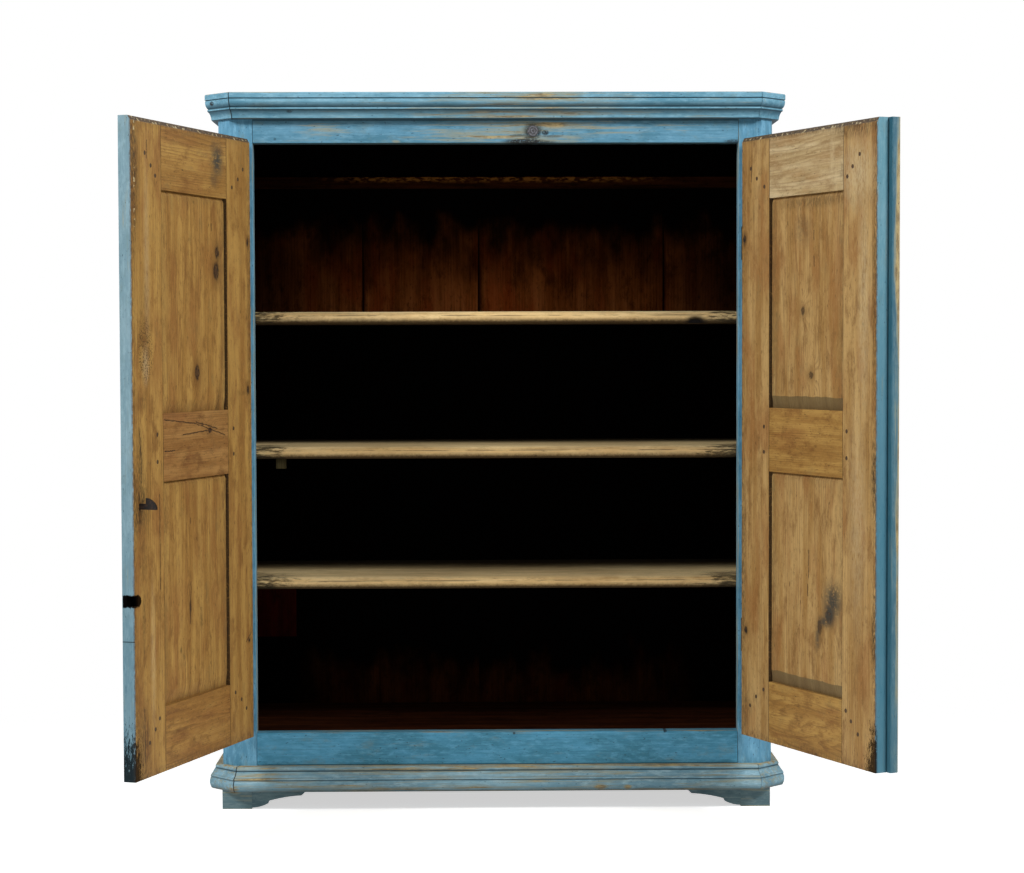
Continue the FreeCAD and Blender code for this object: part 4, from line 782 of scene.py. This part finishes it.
def scorched(tree, word, place, parts, colour, meeting_edge, ragged, seed):
    """Returns the colour with its char, and the mask of the char."""
    along_leaf, inwards, level = parts
    edge = WIDTHS[word]
    scorch = streaks(tree, place, 4, 15, detail=6, roughness=0.85, offset=seed + 71)
    corner = add(tree, "Math", band(tree, level, DOOR_LOW + SCORCH_HEIGHT, DOOR_LOW - 5, 0.3),
                 near(tree, parts, ((0, edge),), SCORCH_WIDTH), operation="MULTIPLY")
    blackening = band(tree, add(tree, "Math", scorch, corner, operation="ADD"), 0.63, 0.7, 0.92)
    blackening = add(tree, "Math", blackening, band(tree, corner, 0.01, 0.06), operation="MULTIPLY")
    if word == "left":
        # The bolt hole is painted black, as dirt and as the shade inside it.
        hole_and_shade = add(tree, "Math", near(tree, parts, ((2, BOLT_HOLE),), 40),
                   band(tree, along_leaf, edge - 60, edge - 19), operation="MULTIPLY")
        hole_and_shade = band(tree, add(tree, "Math", ragged, 0.35, hole_and_shade, operation="MULTIPLY_ADD"), 0.9, 0.98)
        hole_and_shade = add(tree, "Math", hole_and_shade, band(tree, inwards, OUTER + 0.5, OUTER + 3), operation="MULTIPLY")
        split = add(tree, "Math", near(tree, parts, ((2, EDGE_SPLIT),), SEAM), meeting_edge,
                    operation="MULTIPLY")
        opened = add(tree, "Math", hole_and_shade, split, operation="MAXIMUM")
        blackening = add(tree, "Math", blackening, opened, operation="MAXIMUM")
        eaten = marks(tree, place, [EATEN], 0.4)
        pits = add(tree, "TexNoise", {"Vector": place, "Scale": 0.3, "Detail": 1.0})
        eaten = add(tree, "Math", eaten, band(tree, pits, 0.54, 0.6), operation="MULTIPLY")
        colour = layered(tree, colour, (eaten, "#4b3517"))
    else:
        blackening = add(tree, "Math", blackening, band(tree, inwards, INNER - 7, INNER - 2), operation="MULTIPLY")
    inner_side = band(tree, inwards, INNER - 8, INNER - 2)
    char = layered(tree, linear("#080707"), (inner_side, "#21160c"))
    return layered(tree, colour, (blackening, char)), blackening


# %% [markdown]
# ### Pine and paint together
# Now the pieces of a leaf can be dressed. Paint covers what lies behind a wavering line near the outer
# face, and the two long edges. The meeting edge has a blue of its own, paler than the outside and, on
# the right leaf, much deeper towards the floor. Its inner arris is knocked brown.

# %% Leaf pieces
def leaf_piece(node, upright, tones, ring_width, figure, seed):
    """Dresses a stile, rail or panel."""
    word = node.split("_")[0]
    edge = WIDTHS[word]
    material, tree = new_material(f"pine_and_paint_{node}")
    place = leaf_place(tree, f"{word}_door")
    order = ACROSS_X if upright else ACROSS_Z
    grain, parts = with_grain(tree, place, order)
    along_leaf, inwards, level = parts
    knots = [([centre[axis] for axis in order], [radii[axis] for axis in order], strength)
             for centre, radii, strength in leaf_marks(node, KNOTS)]
    ragged = streaks(tree, place, 5, 5, detail=5, roughness=0.72, offset=seed + 41)
    grime = streaks(tree, place, 3, 14, detail=5, roughness=0.7, offset=seed + 47)
    pine, pine_height = bare_pine(tree, grain, tones, ring_width, figure, knots, seed)
    pine, pine_height = worn_pine(tree, node, place, parts, pine, pine_height, ragged, grime, seed)
    pine = rough_head(tree, word, place, parts, pine, ragged)

    paint, paint_height = milk_paint(tree, grain, BLUE, 0.0, None, seed + 90)
    edge_paint = milk_paint(tree, grain, EDGE_BLUE[word], 0.0, None, seed + 95)[0]
    start, end, share = DEEPER[word]
    edge_paint = layered(tree, edge_paint, (band(tree, level, start, end, share), "#2f6980"))
    wobble = add(tree, "Math", ragged, 2.8, -1.4, operation="MULTIPLY_ADD")
    outer = band(tree, add(tree, "Math", inwards, wobble, operation="ADD"), INNER - 13, INNER - 14)
    reach = add(tree, "Math", along_leaf, wobble, operation="ADD")
    meeting_edge = band(tree, reach, edge - 2.2, edge - 1.6)
    hinge_edge = band(tree, reach, LEAF_START + 1.4, LEAF_START + 0.9)
    coat = add(tree, "Math", meeting_edge, hinge_edge, operation="MAXIMUM")
    coat = add(tree, "Math", outer, coat, operation="MAXIMUM")
    arris = add(tree, "Math", near(tree, parts, ((0, edge - 1),), 3.5),
                near(tree, parts, ((1, INNER),), 4), operation="MULTIPLY")
    arris = add(tree, "Math", arris, band(tree, grime, 0.36, 0.56), operation="MULTIPLY")
    colour = layered(tree, pine, (coat, layered(tree, paint, (meeting_edge, edge_paint))),
                     (add(tree, "Math", arris, 0.75, operation="MULTIPLY"), "#5a422a"))
    blackening = None
    if "meeting" in node:
        colour, blackening = scorched(tree, word, place, parts, colour, meeting_edge, ragged, seed)
    height = add(tree, "Mix", {0: coat, 2: pine_height, 3: paint_height}, data_type="FLOAT")
    surface(tree, colour, 0.6, height, specular=0.3, charred=blackening)
    dress(node, material)


# %% Both leaves
# Piece, whether its grain is upright, ring width in millimetres, figure.
LEAF_PIECES = (("hinge_stile", True, 7.0, 0.12), ("meeting_stile", True, 8.0, 0.25),
               ("top_rail", False, 9.0, 0.5), ("middle_rail", False, 5.0, 0.15),
               ("bottom_rail", False, 13.0, 1.0), ("upper_panel", True, 10.0, 0.45),
               ("lower_panel", True, 9.0, 0.35))
LEAF_TONES = {("left", "middle_rail"): RUDDY_PINE, ("left", "bottom_rail"): GOLDEN_PINE,
              ("right", "middle_rail"): PINE, ("right", "bottom_rail"): PINE,
              ("right", "top_rail"): PALE_PINE}
for word, fair, seed in (("left", PINE, 100.0), ("right", FAIR_PINE, 105.0)):
    for number, (piece, upright, ring_width, figure) in enumerate(LEAF_PIECES):
        tones = LEAF_TONES.get((word, piece), fair)
        leaf_piece(f"{word}_door_{piece}", upright, tones, ring_width, figure, seed + 10 * number)
print("dressed both leaves")

# %% [markdown]
# ## Pegs, cover strip and iron
# The pegs show as small dark ends. The cover strip is painted all over; hands opening the leaf have
# worn its outer arris brown at breast height. The hinges and the catch are wrought iron, which is dark
# and matt with a dull brown bloom of rust; its scale pits the surface at about a millimetre.

# %% Small finishes
def peg_wood():
    material, tree = new_material("oak_end_grain")
    grain = with_grain(tree, carcass_place(tree), ACROSS_X)[0]
    speck = streaks(tree, grain, 1.5, 1.5, detail=2)
    colour = layered(tree, linear("#1f1309"), (speck, "#5d4227"))
    surface(tree, colour, 0.7, speck)
    return material


def wrought_iron(name, clean, rust):
    material, tree = new_material(name)
    grain = with_grain(tree, carcass_place(tree), ACROSS_X)[0]
    bloom = streaks(tree, grain, 9, 9, detail=5, roughness=0.65)
    pits = streaks(tree, grain, 1.2, 1.2, detail=3, offset=4.0)
    colour = layered(tree, linear(clean), (band(tree, bloom, 0.45, 0.65), rust))
    surface(tree, colour, 0.6, add(tree, "Math", pits, 0.4, operation="MULTIPLY"), metallic=0.6)
    return material


# %% Cover strip
STRIP_PROUD = 23
STRIP_BLUE = {"light": "#63808b", "middle": "#47707f", "deep": "#315c6d"}


def strip_paint(node):
    material, tree = new_material("milk_paint_cover_strip")
    place = leaf_place(tree, "right_door")
    grain, parts = with_grain(tree, place, ACROSS_X)
    tip, face = SPANS[node][1], OUTER - STRIP_PROUD
    handled = (((tip, face, 1290), (13, 13, 270), 1.9), ((tip, face, 850), (10, 10, 700), 1.2))
    worn = marks(tree, place, handled, 0.6)
    colour, height = milk_paint(tree, grain, STRIP_BLUE, 0.0, worn, 130.0)
    # Painted shade darkens the strip next to the leaf, in the groove behind its lip.
    corner = band(tree, parts[1], OUTER - 6, OUTER - 1, 0.6)
    colour = layered(tree, colour, (corner, "#185264"))
    surface(tree, colour, 0.6, height, specular=0.3)
    dress(node, material)


PEG_WOOD = peg_wood()
IRON = wrought_iron("wrought_iron", "#1f1b19", "#3a2a20")
for word in ("left", "right"):
    dress(f"{word}_door_pegs", PEG_WOOD)
    dress(f"{word}_door_hinges", IRON)
    dress(f"{word}_frame_hinges", IRON)
dress("left_door_iron_catch", IRON)
strip_paint("right_door_cover_strip")

# %% [markdown]
# ## The knot in the head rail
# One knot in the rail over the doors has shrunk less than the wood round it and stands proud as a small
# button with rings. It starts as a flat cylinder, whose face is inset three times, each time with a
# step up or down, the way a turner would cut rings.

# %% The proud knot
def select_faces(obj, chosen):
    bpy.ops.object.mode_set(mode="OBJECT")
    for polygon in obj.data.polygons:
        polygon.select = chosen(polygon)
    bpy.ops.object.mode_set(mode="EDIT")
    bpy.ops.mesh.select_mode(type="FACE")


def finish_piece(obj, name, body, material):
    bpy.ops.object.mode_set(mode="OBJECT")
    bpy.ops.object.transform_apply(location=True, rotation=True, scale=True)
    obj.name = name
    obj.data.name = name
    obj.data.materials.append(material)
    bpy.ops.object.shade_smooth_by_angle(angle=math.radians(40))
    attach(obj, body)
    obj.select_set(False)


def knot_wood():
    material, tree = new_material("grey_knot_wood")
    place = carcass_place(tree)
    local = add(tree, "VectorMath", place, TOP_KNOT, operation="SUBTRACT")
    away = add(tree, "VectorMath", local, out="Value", operation="LENGTH")
    speck = streaks(tree, place, 2.5, 2.5, detail=4, roughness=0.7)
    uneven = add(tree, "Math", streaks(tree, place, 6, 6, detail=4, roughness=0.7), 7.0, away,
                 operation="MULTIPLY_ADD")
    ring = add(tree, "Math", add(tree, "Math", uneven, 1.5, operation="MULTIPLY"), operation="SINE")
    colour = layered(tree, linear("#2b2a2d"),
                     (band(tree, ring, -0.8, 0.9), "#5f6168"),
                     (band(tree, speck, 0.48, 0.66), "#231c18"),
                     (band(tree, away, 3.4, 1.6), "#171416"))
    surface(tree, colour, 0.6, add(tree, "Math", speck, 0.8, operation="MULTIPLY"))
    return material


KNOT_RADIUS, KNOT_PROUD = 12 * MM, 3.0 * MM
bpy.ops.mesh.primitive_cylinder_add(vertices=28, radius=KNOT_RADIUS, depth=KNOT_PROUD,
                                    location=Vector(TOP_KNOT) * MM - Vector((0, KNOT_PROUD / 2, 0)),
                                    rotation=(math.radians(90), 0, 0))
knot = bpy.context.object
bpy.ops.object.transform_apply(location=True, rotation=True, scale=True)
bpy.ops.object.mode_set(mode="EDIT")
select_faces(knot, lambda face: face.normal.y < -0.9)
for ring_width, step in ((3.2, 0.9), (2.2, -0.9), (2.4, 0.8)):
    bpy.ops.mesh.inset(thickness=ring_width * MM, depth=step * MM)
finish_piece(knot, "head_rail_knot", "carcass", knot_wood())
print("knot:", len(knot.data.polygons), "faces")

# %% [markdown]
# ## Nails
# Nails driven through the stiles hold the iron leaves of the hinges. A smith's nail has a head of a few
# hammered slopes, so each head is an eight-sided cone, cut off near its tip and bevelled.

# %% Hammered nail heads
NAIL_RADIUS, NAIL_HEIGHT, NAIL_TIP = 4.2 * MM, 1.6 * MM, 0.35


def leaf_point(word, along, inwards, level):
    """A place in a leaf's own millimetres, as a point of the room in metres."""
    joint = JOINTS[f"{word}_door"]
    side = -1 if joint["axis"][2] > 0 else 1
    turn = Matrix.Rotation(side * math.radians(joint["range_deg"][0]), 4, "Z")
    hinge = Vector((joint["pos_m"][0], joint["pos_m"][1], 0))
    return hinge + turn @ (Vector((side * along, inwards, level)) * MM), turn


def nail(name, word, along, level, twist):
    spot, turn = leaf_point(word, along, INNER + 0.1, level)
    facing = turn @ Matrix.Rotation(math.radians(-90), 4, "X")
    bpy.ops.mesh.primitive_cone_add(vertices=8, radius1=NAIL_RADIUS, radius2=NAIL_RADIUS * NAIL_TIP,
                                    depth=NAIL_HEIGHT)
    head = bpy.context.object
    head.data.transform(Matrix.Rotation(twist, 4, "Z"))
    head.data.transform(Matrix.Translation(spot) @ facing)
    bpy.ops.object.mode_set(mode="EDIT")
    bpy.ops.mesh.select_all(action="SELECT")
    bpy.ops.mesh.bevel(offset=0.35 * MM, segments=2)
    finish_piece(head, name, f"{word}_door", IRON)


NAILS = (("left", 26, 1303), ("left", 28, 967), ("left", 31, 399), ("right", 22, 1308), ("right", 29, 415))
for number, (word, along, level) in enumerate(NAILS, start=1):
    nail(f"hinge_nail_{number}", word, along, level, number * 0.7)
print(len(NAILS), "nail heads")

# %% [markdown]
# ## Floor, light and camera
# The floor is a plain white plane. It takes the cupboard's shadow as any floor does, and a little glow
# that only the camera and mirrors see lifts the rest of it to white. Two large soft lamps stand high in
# front, one on each side, so that each open leaf faces one of them; they are high enough that the
# shelves keep the back boards in the dark.

# %% Floor
FLOOR_SIZE, FLOOR_GLOW = 60, 0.6
# Between these distances from the middle, in metres, the floor fades to plain white.
FADE_START, FADE_END = 1.1, 2.0
WHITE = (1, 1, 1, 1)


def seen_directly(tree):
    """1 for what the camera sees, also in a mirror or through glass, and 0 for light that bounces."""
    rays = add(tree, "LightPath").node.outputs
    through = add(tree, "Math", rays["Is Glossy Ray"], rays["Is Transmission Ray"], operation="MAXIMUM")
    return add(tree, "Math", rays["Is Camera Ray"], through, operation="MAXIMUM")


def white_floor():
    material, tree = new_material("white_floor")
    matt = add(tree, "BsdfDiffuse", {"Color": linear("#f2f2f0")})
    seen = seen_directly(tree)
    strength = add(tree, "Math", seen, FLOOR_GLOW, operation="MULTIPLY")
    glow = add(tree, "Emission", {"Color": WHITE, "Strength": strength})
    lit = add(tree, "AddShader", matt, glow)
    plain = add(tree, "Emission", {"Color": WHITE, "Strength": 1.0})
    point = add(tree, "TexCoord", out="Object")
    away = add(tree, "VectorMath", point, out="Value", operation="LENGTH")
    far = add(tree, "Math", band(tree, away, FADE_START, FADE_END), seen, operation="MULTIPLY")
    both = add(tree, "MixShader", far, lit, plain)
    add(tree, "OutputMaterial", {"Surface": both})
    return material


bpy.ops.mesh.primitive_plane_add(size=FLOOR_SIZE)
floor = bpy.context.object
floor.name = "floor"
floor.data.materials.append(white_floor())

# %% White surroundings that light the cupboard only a little
FILL = 0.13
world = bpy.data.worlds.new("studio")
bpy.context.scene.world = world
world.use_nodes = True
sky = world.node_tree
sky.nodes.clear()
sky_strength = add(sky, "Math", seen_directly(sky), 1 - FILL, FILL, operation="MULTIPLY_ADD")
sky_light = add(sky, "Background", {"Color": WHITE, "Strength": sky_strength})
add(sky, "OutputWorld", {"Surface": sky_light})

# %% Lamps
def soft_lamp(name, place, target, size, power):
    lamp = bpy.data.lights.new(name, "AREA")
    lamp.shape = "RECTANGLE"
    lamp.size, lamp.size_y = size
    lamp.energy = power
    holder = bpy.data.objects.new(name, lamp)
    holder.location = place
    holder.rotation_euler = (Vector(target) - Vector(place)).to_track_quat("-Z", "Y").to_euler()
    bpy.context.scene.collection.objects.link(holder)


TARGET, LAMP_SIZE = (0, 0, 0.9), (1.5, 1.3)
soft_lamp("right_softbox", (3.3, -2.4, 3.8), TARGET, LAMP_SIZE, 180)
soft_lamp("left_softbox", (-3.3, -2.4, 3.8), TARGET, LAMP_SIZE, 175)

# %% Camera
IMAGE_WIDTH, FOCAL_PIXELS, SENSOR = 1024, 2266, 36.0
EYE = (-0.0729, -5.1576, 1.069)
YAW, PITCH, ROLL = 0.015, -0.0399, -0.0028
forward = Vector((math.sin(YAW) * math.cos(PITCH), math.cos(YAW) * math.cos(PITCH), math.sin(PITCH)))
level_right = Vector((math.cos(YAW), -math.sin(YAW), 0))
level_up = level_right.cross(forward)
right = level_right * math.cos(ROLL) + level_up * math.sin(ROLL)
up = level_up * math.cos(ROLL) - level_right * math.sin(ROLL)
lens = bpy.data.cameras.new("camera")
lens.sensor_width = SENSOR
lens.lens = SENSOR * FOCAL_PIXELS / IMAGE_WIDTH
camera = bpy.data.objects.new("camera", lens)
camera.matrix_world = Matrix.Translation(EYE) @ Matrix((right, up, -forward)).transposed().to_4x4()
bpy.context.scene.collection.objects.link(camera)
bpy.context.scene.camera = camera
bpy.context.scene.view_settings.view_transform = "Standard"
print(f"lens {lens.lens:.1f} mm")
